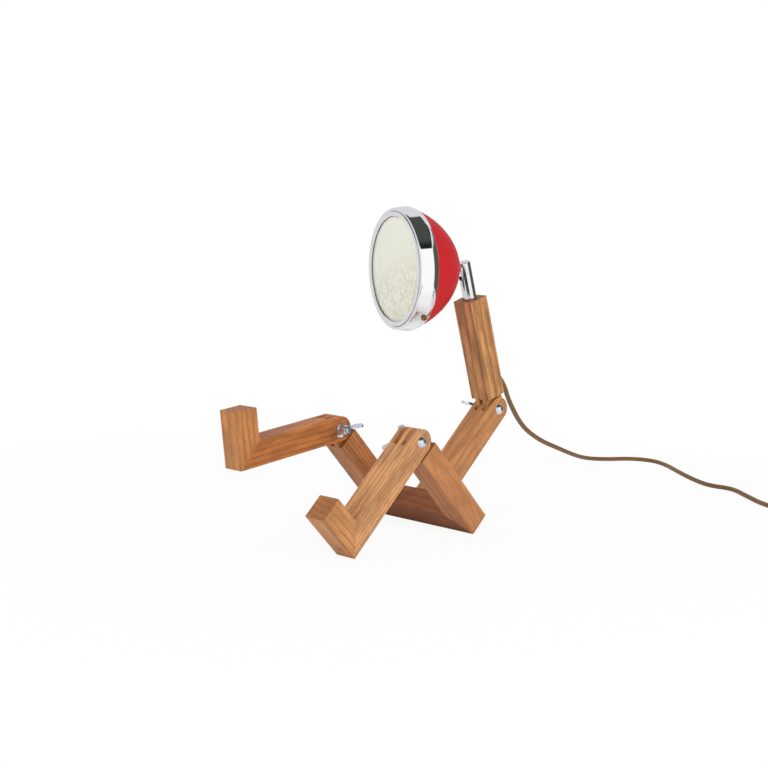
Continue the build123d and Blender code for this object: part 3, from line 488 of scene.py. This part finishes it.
def oak_material(name, origin, turned, heart, ring_width, offset, mean, contrast, waver=2.2):
    """Oak for one beam: origin and turned place the grain's axes on it, and mean is its average colour."""
    light = tuple(min(1.0, c * (1 + 0.55 * contrast)) for c in mean) + (1,)
    dark = tuple(c * (1 - contrast) for c in mean) + (1,)
    middle = tuple(0.42 * a + 0.58 * b for a, b in zip(light, dark))
    pore_colour = tuple(0.45 * c for c in dark[:3]) + (1,)
    material, tree, shader, spot = plain_material(name)
    onto_beam = add(
        tree, "ShaderNodeMapping", vector_type="TEXTURE", _Vector=spot, _Location=origin, _Rotation=turned
    )
    grain = add(tree, "ShaderNodeGroup", node_tree=oak_grain, _Vector=onto_beam.outputs[0], _Waver=waver)
    fill(tree, grain, Heart_X=heart[0], Heart_Y=heart[1], Ring_Width=ring_width, Offset=offset)
    rings, pores, tone = grain.outputs
    base = mix_colour(tree, eased(tree, tone, 0.34, 0.66), light, middle)
    ringed = mix_colour(tree, calc(tree, "MULTIPLY", rings, 0.95), base, dark)
    full = mix_colour(tree, calc(tree, "MULTIPLY", pores, 0.85), ringed, pore_colour)
    # end grain drinks more oil and comes out darker and redder
    grain_way = Euler(turned).to_matrix() @ Vector((0, 0, 1))
    face_way = add(tree, "ShaderNodeTexCoord").outputs["Normal"]
    along = vector_calc(tree, "DOT_PRODUCT", face_way, grain_way, result="Value")
    cut_across = eased(tree, calc(tree, "ABSOLUTE", along), 0.72, 0.97)
    soaked = mix_colour(tree, cut_across, full, (0.78, 0.68, 0.62, 1), "MULTIPLY")
    gloss = calc(tree, "MULTIPLY_ADD", pores, 0.25, 0.46)
    fill(tree, shader, Base_Color=soaked, Roughness=gloss, Specular_IOR_Level=0.34)
    dent(tree, shader, calc(tree, "MULTIPLY_ADD", rings, 0.25, pores), 0.4, 0.00025, invert=True)
    return material


def body_of_node(node):
    """The body that a CAD node belongs to."""
    for body, nodes in frame["record"]["behaviour"]["bodies"].items():
        if node in nodes:
            return body
    raise KeyError(node)


def shade_smooth(shape, crease):
    """Smooth faces, with a sharp edge wherever two faces meet at more than crease degrees."""
    for face in shape.faces:
        face.smooth = True
    for edge in shape.edges:
        edge.smooth = not (edge.is_manifold and edge.calc_face_angle() > math.radians(crease))


joined_within = 2e-6
flat_within = math.radians(0.6)


def dressed(node, name, material, soften=0.0, steps=2, crease=35):
    """The CAD node's shape with its triangles joined, its arrises softened and its curves shaded smooth."""
    mesh = frame["nodes"][node].data.copy()
    shape = bmesh.new()
    shape.from_mesh(mesh)
    bmesh.ops.remove_doubles(shape, verts=shape.verts, dist=joined_within)
    bmesh.ops.dissolve_limit(shape, angle_limit=flat_within, verts=shape.verts, edges=shape.edges)
    shade_smooth(shape, crease)
    shape.to_mesh(mesh)
    shape.free()
    mesh.materials.clear()
    mesh.materials.append(material)
    piece = placed(name, mesh)
    if soften:
        bevel = piece.modifiers.new("broken_arris", "BEVEL")
        bevel.width = soften
        bevel.segments = steps
        bevel.limit_method = "ANGLE"
        bevel.angle_limit = math.radians(crease)
        bevel.harden_normals = True
    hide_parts(node)
    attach(piece, body_of_node(node))
    return piece


quarter = math.pi / 2


def side_plane_turn(way):
    """Euler turn about X that brings Z to the direction way, counted from +Y towards +Z."""
    return (way - quarter, 0.0, 0.0)


seat_rise = math.radians(46.7)
left_shin_way = math.radians(180 + 43.939)
right_shin_way = math.radians(187.5)
hip_place = (0.0063, 0.0646, 0.009188)
knee_place = (0.0063, -0.030729, 0.110348)
waist_place = (0.0063, 0.16562, 0.123621)
across_seat = (0.0, quarter, 0.0)
up_thigh = side_plane_turn(math.pi - seat_rise)
up_torso = side_plane_turn(quarter - seat_rise)
up_chest = side_plane_turn(math.radians(107.6))
down_left_shin = side_plane_turn(left_shin_way)
down_right_shin = side_plane_turn(right_shin_way)
along_left_foot = side_plane_turn(left_shin_way - quarter)
along_right_foot = side_plane_turn(right_shin_way - quarter)
beams = [
    # node, place, turn, heart, ring width, offset, average colour, contrast
    ("hip_bar", hip_place, across_seat, (16, 90), 4.6, 11.0, (0.275, 0.088, 0.029), 0.36),
    ("left_thigh", hip_place, up_thigh, (110, 8), 8.0, 93.0, (0.48, 0.196, 0.072), 0.36),
    ("right_thigh", hip_place, up_thigh, (-70, 62), 4.4, 151.0, (0.46, 0.170, 0.053), 0.48),
    ("lower_torso", hip_place, up_torso, (75, 80), 8.5, 207.0, (0.52, 0.226, 0.083), 0.34),
    ("chest", waist_place, up_chest, (62, -66), 8.2, 263.0, (0.53, 0.238, 0.088), 0.64),
    ("left_shin", knee_place, down_left_shin, (3, -90), 3.4, 319.0, (0.56, 0.268, 0.110), 0.56),
    ("right_shin", knee_place, down_right_shin, (-66, 90), 6.4, 373.0, (0.45, 0.152, 0.038), 0.46),
    ("left_foot", knee_place, along_left_foot, (90, 44), 7.0, 431.0, (0.53, 0.230, 0.080), 0.40),
    ("right_foot", knee_place, along_right_foot, (70, 66), 6.2, 487.0, (0.52, 0.208, 0.064), 0.46),
]
for node, *board in beams:
    piece = dressed(node, f"{node}_oak", oak_material(f"oak_of_{node}", *board), soften=0.0004, crease=30)
    # the polished rim looks past the seat and the legs, not at them
    piece.visible_glossy = node in ("chest", "right_shin")

# ------------------------------------------------------------------ dowels and plugs
# Beech dowels glued across the mitres and into the torso, and a cross-cut plug over each ankle screw. Only
# the plugs show, as a darker disc of end grain in the sole.
beech = (knee_place, down_left_shin, (40, 12), 0.9, 17.0, (0.50, 0.24, 0.10), 0.45, 2.0)
dowel_wood = oak_material("beech_end_grain", *beech)
beech_pieces = ["hip_corner_dowels", "torso_dowels"]
beech_pieces += [f"{side}_{part}" for side in ("left", "right") for part in ("ankle_dowels", "sole_plug")]
for node in beech_pieces:
    piece = dressed(node, f"{node}_beech", dowel_wood, soften=0.0002)
    piece.visible_glossy = False


# ------------------------------------------------------------------ bolts, washers and wing nuts
# M6 carriage bolts with pressed domes, plain washers and cast wing nuts, all bright zinc plated. The plate is
# a little blue and cloudy, and finely pitted by the pickling bath.
def cloudy(tree, spot, scale, detail, rough=0.5):
    """Noise on a piece's Object coordinates; the scale is per metre."""
    made = add(tree, "ShaderNodeTexNoise", _Vector=spot, _Scale=scale, _Detail=detail, _Roughness=rough)
    return made.outputs["Fac"]


def zinc_material():
    """Bright zinc plate over steel."""
    material, tree, shader, spot = plain_material("zinc_plate")
    cloud = cloudy(tree, spot, 240.0, 3.0)
    colour = mix_colour(tree, cloud, (0.96, 0.97, 1.0, 1), (0.55, 0.60, 0.74, 1))
    gloss = calc(tree, "MULTIPLY_ADD", cloudy(tree, spot, 1500.0, 2.0), 0.25, 0.10)
    fill(tree, shader, Base_Color=colour, Metallic=1.0, Roughness=gloss)
    dent(tree, shader, cloud, 0.8, 0.0006)
    return material


zinc = zinc_material()
for pivot in ("waist", "left_knee", "right_knee"):
    bolt = dressed(f"{pivot}_bolt", f"{pivot}_carriage_bolt", zinc, soften=0.0003)
    bolt.visible_glossy = False
    washer = dressed(f"{pivot}_washer", f"{pivot}_plain_washer", zinc, soften=0.0002)
    nut = dressed(f"{pivot}_wing_nut", f"{pivot}_cast_wing_nut", zinc, soften=0.0008, steps=3)
for node in ("left_ankle_screw", "right_ankle_screw", "neck_grub_screw", "tilt_pins", "tilt_tongue"):
    piece = dressed(node, f"{node}_steel", zinc, soften=0.0001)
    piece.visible_glossy = False


# ------------------------------------------------------------------ neck
# Drawn steel tube, 16 mm across, polished and chromed, with a pressed chrome cap. It turns in a black nylon
# bush, and a pale sleeved lead runs up through it.
def chrome_material(name, haze, bright=(0.90, 0.905, 0.92, 1), dull=(0.80, 0.81, 0.83, 1)):
    """Polished chrome with faint wiping marks."""
    material, tree, shader, spot = plain_material(name)
    marks = cloudy(tree, spot, 70.0, 4.0, 0.6)
    gloss = calc(tree, "MULTIPLY_ADD", marks, haze, 0.02)
    fill(tree, shader, Base_Color=mix_colour(tree, marks, bright, dull), Metallic=1.0, Roughness=gloss)
    return material


chrome = chrome_material("neck_chrome", 0.10)
dressed("neck_post", "neck_tube", chrome, soften=0.0002)
dressed("neck_cap", "neck_tube_cap", chrome, soften=0.0003)


def moulded_material(name, colour, rough):
    """Moulded plastic or rubber with a fine eroded-tool texture."""
    material, tree, shader, spot = plain_material(name)
    cloud = cloudy(tree, spot, 60.0, 3.0)
    lighter = tuple(min(1.0, 1.25 * c + 0.006) for c in colour) + (1,)
    gloss = calc(tree, "MULTIPLY_ADD", cloud, 0.15, rough - 0.07)
    fill(tree, shader, Base_Color=mix_colour(tree, cloud, colour + (1,), lighter), Roughness=gloss)
    dent(tree, shader, cloudy(tree, spot, 2600.0, 1.0), 0.25, 0.00008)
    return material


black_nylon = moulded_material("black_nylon", (0.018, 0.017, 0.016), 0.5)
dressed("neck_bush", "neck_bush_nylon", black_nylon, soften=0.0001)
lead_sleeve = moulded_material("lead_sleeve", (0.55, 0.53, 0.49), 0.45)
for node in ("chest_lead", "neck_lead", "head_lead"):
    dressed(node, f"{node}_sleeve", lead_sleeve)


# ------------------------------------------------------------------ headlamp shell
# Spun steel bowl, 1.2 mm thick, stove enamelled in satin red. Its straight collar goes into the bezel, and
# two rivets hold the inner plate that the tilt tongue is fixed to.
def joint_named(name):
    """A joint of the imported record."""
    return next(j for j in frame["record"]["behaviour"]["joints"] if j["name"] == name)


neck_joint = joint_named("neck_turn")
neck_up = Vector(neck_joint["axis"]).normalized()
tilt_axis = Vector(joint_named("head_tilt")["axis"]).normalized()
head_lift = math.radians(15.0)
head_way = (math.cos(head_lift) * tilt_axis.cross(neck_up) + math.sin(head_lift) * neck_up).normalized()
head_rise = 0.038
mouth_reach = 0.067884
mouth = Vector(neck_joint["pos_m"]) + head_rise * neck_up + mouth_reach * head_way
head_top = head_way.cross(tilt_axis).normalized()
head_place = Matrix.Translation(mouth) @ Matrix((tilt_axis, head_top, head_way)).transposed().to_4x4()
mm = 0.001


def arc_points(centre, radius, first, last, count):
    """Points on an arc in the profile plane; degrees from the radial direction towards the front."""
    angles = [math.radians(first + (last - first) * k / count) for k in range(count + 1)]
    return [(centre[0] + radius * math.cos(a), centre[1] + radius * math.sin(a)) for a in angles]


def ring_at(shape, radius, along, sides):
    """Ring of points round the head's axis, or one point where the radius is nothing; in millimetres."""
    if radius < 1e-6:
        return [shape.verts.new((0, 0, along * mm))]
    turns = [2 * math.pi * k / sides for k in range(sides)]
    reach = radius * mm
    return [shape.verts.new((reach * math.cos(a), reach * math.sin(a), along * mm)) for a in turns]


def skin_between(shape, first, last, sides, paint_number=0):
    """Faces from one ring to the next, either of which may be one point."""
    for k in range(sides):
        after = (k + 1) % sides
        if len(first) == 1:
            corners = (first[0], last[after], last[k])
        elif len(last) == 1:
            corners = (first[k], first[after], last[0])
        else:
            corners = (first[k], first[after], last[after], last[k])
        shape.faces.new(corners).material_index = paint_number


def spun(name, profile, material, sides, crease=40, second=None, takes_second=None):
    """Closed profile of (radius, along) in mm, spun about the head's axis; rows may take a second material,
    used for the bezel's painted shade.
    """
    mesh = bpy.data.meshes.new(name)
    shape = bmesh.new()
    rings = [ring_at(shape, radius, along, sides) for radius, along in profile]
    for row, (first, last) in enumerate(zip(rings, rings[1:] + rings[:1])):
        if len(first) == 1 and len(last) == 1:
            continue
        middle = [0.5 * (a + b) for a, b in zip(profile[row], profile[(row + 1) % len(profile)])]
        skin_between(shape, first, last, sides, 1 if takes_second and takes_second(*middle) else 0)
    bmesh.ops.recalc_face_normals(shape, faces=shape.faces)
    shade_smooth(shape, crease)
    bmesh.ops.transform(shape, matrix=head_place, verts=shape.verts)
    shape.to_mesh(mesh)
    shape.free()
    for coat in filter(None, (material, second)):
        mesh.materials.append(coat)
    return placed(name, mesh)


def enamel_material():
    """Satin red stove enamel: slight orange peel, a few pale rubs."""
    material, tree, shader, spot = plain_material("red_stove_enamel")
    base = mix_colour(tree, cloudy(tree, spot, 22.0, 3.0), (0.58, 0.023, 0.027, 1), (0.50, 0.017, 0.022, 1))
    rubs = cloudy(tree, spot, 150.0, 5.0, 0.75)
    gloss = calc(tree, "MULTIPLY_ADD", rubs, 0.22, 0.34)
    fill(tree, shader, Base_Color=base, Roughness=gloss, Specular_IOR_Level=0.05)
    dent(tree, shader, cloudy(tree, spot, 520.0, 1.0), 0.10, 0.0002)
    return material


red_enamel = enamel_material()
# the bowl's section: a wide arc for the sides meets a narrow one for the nose
shell_side_r = 90.383
shell_nose_r = 34.7998
shell_lean = 19.7
shell_mouth_r = 67.0
shell_wall = 1.2
side_middle = (
    shell_mouth_r - shell_side_r * math.cos(math.radians(shell_lean)),
    shell_side_r * math.sin(math.radians(shell_lean)),
)
arcs_meet = math.degrees(math.acos(-side_middle[0] / (shell_side_r - shell_nose_r)))
nose_middle = (0, side_middle[1] - (shell_side_r - shell_nose_r) * math.sin(math.radians(arcs_meet)))
side_steps = 40
nose_steps = 10


def shell_profile():
    """Outside from the collar round to the pole, then back along the inside."""
    outside = arc_points(side_middle, shell_side_r, -shell_lean, -arcs_meet, side_steps)
    outside += arc_points(nose_middle, shell_nose_r, -arcs_meet, -90, nose_steps)[1:]
    inside = arc_points(nose_middle, shell_nose_r - shell_wall, -90, -arcs_meet, nose_steps)
    inside += arc_points(side_middle, shell_side_r - shell_wall, -arcs_meet, -shell_lean, side_steps)[1:]
    collar_end = 12.0
    collar_middle = 6.0
    inner_start = 0.3
    inner_r = shell_mouth_r - shell_wall
    front = [(shell_mouth_r, collar_end), (shell_mouth_r, collar_middle)]
    whole = front + outside + inside + [(inner_r, inner_start), (inner_r, collar_end)]
    return [(0.0 if r < 1e-6 else r, along) for r, along in whole]


shell = spun("red_shell", shell_profile(), red_enamel, sides=192)
shell.visible_glossy = False
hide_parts("head_shell")
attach(shell, "head")
dressed("shell_rivets", "red_shell_rivets", red_enamel, soften=0.0002)
steel_sheet = chrome_material("pressed_steel_sheet", 0.5)
dressed("shell_backplate", "inner_backplate", steel_sheet, soften=0.0002)

# ------------------------------------------------------------------ bezel
# Brass ring spun to section and chromed: a narrow cone at the back, a broad flat band, a rounded shoulder,
# and a lip turned in over the glass. The step round the lip and the lip's inner edge are painted dark as
# shade.
bezel_profile = (
    # back edge and rear cone
    [(67.1, 0.0), (67.5, 0.0), (67.85, 0.35), (69.75, 6.1), (69.95, 6.9), (69.95, 7.6), (69.85, 8.2)]
    # flat band and shoulder
    + [(69.0, 13.7), (68.1, 19.5), (67.9, 20.3), (67.5, 21.0), (66.9, 21.5), (66.2, 21.75), (65.2, 21.8)]
    # step and lip
    + [(64.7, 21.3), (64.2, 21.1), (64.0, 21.8), (63.3, 22.25), (62.0, 22.6), (60.8, 22.6), (59.7, 22.3)]
    + [(59.0, 21.7), (58.6, 20.9), (58.7, 20.4)]
    # inside
    + [(64.0, 20.35), (66.2, 18.9), (67.4, 15.6), (68.0, 11.6), (68.2, 7.4), (67.7, 4.6), (67.1, 3.0)]
)


def takes_painted_shade(radius, along):
    """Rows of the bezel painted dark as shade: the step round the lip and the lip's inner edge."""
    return along > 20.3 and (64.0 < radius < 64.2 or radius < 58.9)


def painted_shade_material():
    """Painted shade for the step and the lip's inner edge: dark grey, uneven along the groove."""
    material, tree, shader, spot = plain_material("bezel_painted_shade")
    patches = cloudy(tree, spot, 90.0, 3.0)
    colour = mix_colour(tree, patches, (0.08, 0.075, 0.08, 1), (0.26, 0.25, 0.26, 1))
    fill(tree, shader, Base_Color=colour, Roughness=calc(tree, "MULTIPLY_ADD", patches, 0.3, 0.35))
    return material


bezel_chrome = chrome_material("bezel_chrome", 0.04, (0.99, 0.985, 0.99, 1), (0.93, 0.93, 0.945, 1))
# painted shade for the step round the lip and the lip's inner edge
painted_groove_shade = painted_shade_material()
bezel = spun(
    "chrome_bezel",
    bezel_profile,
    bezel_chrome,
    sides=256,
    crease=50,
    second=painted_groove_shade,
    takes_second=takes_painted_shade,
)
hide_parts("bezel")
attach(bezel, "head")
browned = moulded_material("browned_screw", (0.17, 0.075, 0.035), 0.35)
dressed("bezel_screw", "bezel_clamp_screw", browned, soften=0.0002)

# ------------------------------------------------------------------ lens
# Pressed glass, 3.5 mm thick and faintly domed. The press leaves pebbles on its face, about 3 mm wide and
# 6 mm high, shallow at the upper left and deep at the lower right. A flat rim lies in the gasket behind the
# bezel's lip.
lens_rim_r = 63.5
lens_view_r = 57.6
lens_front = 20.3
lens_dome = 5.0
lens_thickness = 3.5
pebble_width = 0.0040
# the pebbles repeat this much faster across the glass and up it
pebble_stretch = (1.3, 0.66, 1.0)
pebble_depth = 0.00032
dome_ball_r = (lens_view_r**2 + lens_dome**2) / (2 * lens_dome)


def dome_height(r):
    """Height of the lens's dome over its rim at a radius."""
    return lens_dome - (dome_ball_r - math.sqrt(dome_ball_r**2 - r * r))


def lens_blank():
    """Smooth lens in the head's own axes, as closed rings from its front pole to its back pole."""
    shape = bmesh.new()
    sides = 240
    rows = 80
    back = lens_front - lens_thickness
    outline = [(0.0, lens_front + lens_dome)]
    for r in [lens_view_r * row / rows for row in range(1, rows + 1)]:
        outline.append((r, lens_front + dome_height(r)))
    outline += [(lens_rim_r, lens_front), (lens_rim_r, back), (lens_view_r, back)]
    outline += [(r, back + dome_height(r)) for r in (50.0, 40.0, 30.0, 20.0, 10.0)]
    outline.append((0.0, back + lens_dome))
    rings = [ring_at(shape, r, along, sides) for r, along in outline]
    for first, last in zip(rings, rings[1:]):
        skin_between(shape, first, last, sides)
    bmesh.ops.recalc_face_normals(shape, faces=shape.faces)
    for face in shape.faces:
        face.smooth = True
    mesh = bpy.data.meshes.new("lens_blank")
    shape.to_mesh(mesh)
    shape.free()
    return mesh


def geometry_tree(name, inputs):
    """Empty geometry tree; returns it, its inputs' outlets, and the inputs' identifiers."""
    tree = bpy.data.node_groups.new(name, "GeometryNodeTree")
    identifiers = {}
    for title, kind in [("Geometry", "Geometry")] + inputs:
        socket = tree.interface.new_socket(title, in_out="INPUT", socket_type=f"NodeSocket{kind}")
        identifiers[title] = socket.identifier
    tree.interface.new_socket("Geometry", in_out="OUTPUT", socket_type="NodeSocketGeometry")
    return tree, tree.nodes.new("NodeGroupInput").outputs, identifiers


def finish_tree(tree, shape, material):
    """Real geometry with its material, as the tree's result."""
    real = add(tree, "GeometryNodeRealizeInstances", _Geometry=shape)
    painted = add(tree, "GeometryNodeSetMaterial", _Geometry=real.outputs[0], _Material=material)
    add(tree, "NodeGroupOutput", _Geometry=painted.outputs[0])


def grown(name, mesh, tree, identifiers, sizes):
    """Runs a geometry tree on a mesh and keeps the result as a plain mesh object."""
    seed = placed(f"{name}_seed", mesh)
    modifier = seed.modifiers.new("grow", "NODES")
    modifier.node_group = tree
    for title, value in sizes.items():
        modifier[identifiers[title]] = value
    result = evaluated_mesh(seed)
    result.name = name
    seed.modifiers.remove(modifier)
    bpy.data.objects.remove(seed)
    return placed(name, result)


def pebbles(tree, spot, a_metre):
    """The spot in the glass's plane, its way to its pebble's middle, and its way to the deep lower right."""
    flat = vector_calc(tree, "MULTIPLY", spot, (1.0, 1.0, 0.0))
    cells = add(tree, "ShaderNodeTexVoronoi", feature="SMOOTH_F1", _Smoothness=0.35, _Randomness=0.75)
    fill(tree, cells, Vector=vector_calc(tree, "MULTIPLY", flat, pebble_stretch), Scale=a_metre)
    split = add(tree, "ShaderNodeSeparateXYZ", _Vector=flat).outputs
    slant = calc(tree, "SUBTRACT", calc(tree, "MULTIPLY", split["X"], 0.4), split["Y"])
    return flat, cells.outputs["Distance"], slant


press_slant = 0.03
edge_fade = 0.004


def press_tree(material):
    """Pebbles pressed into the lens's front: cells that rise from their edges, deeper at the lower right."""
    sizes = [(title, "Float") for title in ("Pebble Width", "Pebble Depth", "View Radius")]
    tree, given, identifiers = geometry_tree("pebble_press", sizes)
    spot = add(tree, "GeometryNodeInputPosition").outputs[0]
    flat, off_middle, slant = pebbles(tree, spot, calc(tree, "DIVIDE", 1.0, given["Pebble Width"]))
    swell = eased(tree, off_middle, 0.0, 0.75, 1.0, 0.0)
    deep = eased(tree, slant, -press_slant, press_slant, 0.12, 1.0)
    radius = vector_calc(tree, "LENGTH", flat, result="Value")
    fade = eased(tree, calc(tree, "SUBTRACT", given["View Radius"], radius), 0.0, edge_fade)
    height = calc(tree, "MULTIPLY", calc(tree, "MULTIPLY", swell, deep), fade)
    lift = add(tree, "ShaderNodeCombineXYZ", _Z=calc(tree, "MULTIPLY", height, given["Pebble Depth"]))
    level = add(tree, "ShaderNodeSeparateXYZ", _Vector=spot).outputs["Z"]
    front_level = (lens_front - 0.1) * mm
    on_front = add(tree, "FunctionNodeCompare", operation="GREATER_THAN", _A=level, _B=front_level)
    pushed = add(tree, "GeometryNodeSetPosition", _Geometry=given["Geometry"], _Offset=lift.outputs[0])
    fill(tree, pushed, Selection=on_front.outputs[0])
    finish_tree(tree, pushed.outputs[0], material)
    return tree, identifiers


def lens_material():
    """Thick pressed glass before the polished bowl: creamy, with shade painted darker into the valleys
    between pebbles.
    """
    material, tree, shader, spot = plain_material("pressed_glass")
    onto_lens = add(tree, "ShaderNodeMapping", vector_type="TEXTURE", _Vector=spot, _Location=mouth)
    fill(tree, onto_lens, Rotation=head_place.to_euler())
    flat, off_middle, slant = pebbles(tree, onto_lens.outputs[0], 1.0 / pebble_width)
    # painted shade: the glass is coloured darker in the valleys between pebbles, more at the lower right
    valley_shade = eased(tree, off_middle, 0.34, 0.72)
    shade = calc(tree, "MULTIPLY", valley_shade, eased(tree, slant, -press_slant, press_slant, 0.04, 0.72))
    colour = mix_colour(tree, shade, (0.975, 0.965, 0.815, 1), (0.74, 0.72, 0.53, 1))
    fill(tree, shader, Base_Color=colour, Roughness=0.14, IOR=1.5, Transmission_Weight=0.12, Coat_Weight=0.3)
    return material


pebble_press, press_inputs = press_tree(lens_material())
press_sizes = {"Pebble Width": pebble_width, "Pebble Depth": pebble_depth, "View Radius": lens_view_r * mm}
glass = grown("pressed_lens", lens_blank(), pebble_press, press_inputs, press_sizes)
glass.data.transform(head_place)
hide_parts("lens")
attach(glass, "head")

# ------------------------------------------------------------------ behind the glass
# Rubber gasket, polished aluminium reflector, glazed ceramic holder, and a clear capsule bulb on its ceramic
# base. They are shut in between the shell and the glass.
black_rubber = moulded_material("black_rubber", (0.02, 0.02, 0.02), 0.6)
dressed("lens_gasket", "gasket_rubber", black_rubber, soften=0.0001)
reflector_metal = chrome_material("polished_aluminium", 0.25)
dressed("reflector", "reflector_bowl", reflector_metal)
ceramic = moulded_material("glazed_ceramic", (0.72, 0.70, 0.64), 0.2)
dressed("lamp_holder", "holder_ceramic", ceramic, soften=0.0003)
dressed("bulb_base", "bulb_base_ceramic", ceramic, soften=0.0003)
bulb_clear = moulded_material("bulb_envelope", (0.85, 0.85, 0.82), 0.12)
dressed("bulb_glass", "bulb_envelope_glass", bulb_clear)

# ------------------------------------------------------------------ boot, switch and plug
# Brown moulded parts on the cord: the boot at the chest, a two-part rocker switch, and a flat plug with
# turned brass pins.
brown_plastic = moulded_material("brown_moulding", (0.060, 0.032, 0.016), 0.42)
boot = dressed("cord_gland", "cord_boot", brown_plastic, soften=0.0003)
on_cord = [dressed("switch_base", "switch_base_half", brown_plastic, soften=0.0003)]
on_cord.append(dressed("switch_cover", "switch_cover_half", brown_plastic, soften=0.0003))
on_cord.append(dressed("switch_rocker", "switch_rocker_key", black_nylon, soften=0.0003))
plug = dressed("plug_body", "plug_moulding", brown_plastic, soften=0.0003)


def brass_material():
    """Bright turned brass."""
    material, tree, shader, spot = plain_material("turned_brass")
    rub = cloudy(tree, spot, 400.0, 3.0)
    colour = mix_colour(tree, rub, (0.86, 0.68, 0.36, 1), (0.74, 0.55, 0.26, 1))
    fill(tree, shader, Base_Color=colour, Metallic=1.0, Roughness=calc(tree, "MULTIPLY_ADD", rub, 0.2, 0.12))
    return material


pins = dressed("plug_pins", "plug_brass_pins", brass_material(), soften=0.0001)

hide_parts("cord_hanging", "cord_on_table")
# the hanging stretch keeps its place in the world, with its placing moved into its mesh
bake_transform(cord_to_switch)
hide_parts("cord_switch_to_coil", "cord_coil", "cord_tail")
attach(cord_to_plug, "seat_frame")


# ------------------------------------------------------------------ coil tie
# Five turns of waxed twine round the coil, side by side, pressed a little into the sleeve. They keep the
# spare flex together opposite the side where its ends leave it.
twine_thickness = 0.0010
twine_turns = 5
tie_width = coil_outer - coil_inner + cord_thickness + twine_thickness
tie_low = twine_thickness / 2
tie_high = coil_high + cord_thickness / 2 + twine_thickness / 2
tie_x = coil_centre[0] - (coil_outer + coil_inner) / 2
first_turn_y = coil_centre[1] - (twine_turns - 1) * twine_thickness / 2


def twine_tree(material):
    """One rounded loop of twine, repeated along Y."""
    sizes = [(title, "Float") for title in ("Width", "Height", "Corner", "Thickness", "Pitch")]
    tree, given, identifiers = geometry_tree("twine_turns", sizes + [("Turns", "Int"), ("Centre", "Vector")])
    loop = add(tree, "GeometryNodeCurvePrimitiveQuadrilateral", mode="RECTANGLE")
    fill(tree, loop, Width=given["Width"], Height=given["Height"])
    rounded = add(tree, "GeometryNodeFilletCurve", mode="POLY", _Count=7, _Curve=loop.outputs[0])
    fill(tree, rounded, Radius=given["Corner"])
    thin = calc(tree, "MULTIPLY", given["Thickness"], 0.5)
    section = add(tree, "GeometryNodeCurvePrimitiveCircle", _Resolution=10, _Radius=thin)
    strand = add(tree, "GeometryNodeCurveToMesh", _Curve=rounded.outputs[0])
    fill(tree, strand, Profile_Curve=section.outputs[0])
    upright = add(tree, "GeometryNodeTransform", _Rotation=(quarter, 0, 0), _Geometry=strand.outputs[0])
    step = add(tree, "ShaderNodeCombineXYZ", _Y=given["Pitch"])
    row = add(tree, "GeometryNodeMeshLine", mode="OFFSET", _Count=given["Turns"], _Offset=step.outputs[0])
    fill(tree, row, Start_Location=given["Centre"])
    copies = add(tree, "GeometryNodeInstanceOnPoints", _Points=row.outputs[0], _Instance=upright.outputs[0])
    smooth = add(tree, "GeometryNodeSetShadeSmooth", _Geometry=copies.outputs[0])
    finish_tree(tree, smooth.outputs[0], material)
    return tree, identifiers


def twine_material():
    """Waxed brown twine; fine twist lines run across each strand."""
    material, tree, shader, spot = plain_material("waxed_twine")
    wave = add(tree, "ShaderNodeTexWave", bands_direction="DIAGONAL", _Scale=900.0, _Distortion=1.5)
    fill(tree, wave, Vector=spot)
    twist = wave.outputs["Fac"]
    fill(tree, shader, Base_Color=mix_colour(tree, twist, (0.10, 0.06, 0.03, 1), (0.34, 0.23, 0.12, 1)))
    fill(tree, shader, Roughness=0.5)
    dent(tree, shader, twist, 0.6, 0.0002)
    return material


twine_turns_tree, twine_inputs = twine_tree(twine_material())
twine_sizes = {
    "Width": tie_width,
    "Height": tie_high - tie_low,
    "Corner": cord_thickness / 2 + twine_thickness / 2,
    "Thickness": twine_thickness,
    "Pitch": twine_thickness,
    "Turns": twine_turns,
    "Centre": (tie_x, first_turn_y, (tie_low + tie_high) / 2),
}
tie_seed = bpy.data.meshes.new("coil_tie_seed")
coil_tie = grown("coil_tie", tie_seed, twine_turns_tree, twine_inputs, twine_sizes)
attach(coil_tie, "seat_frame")
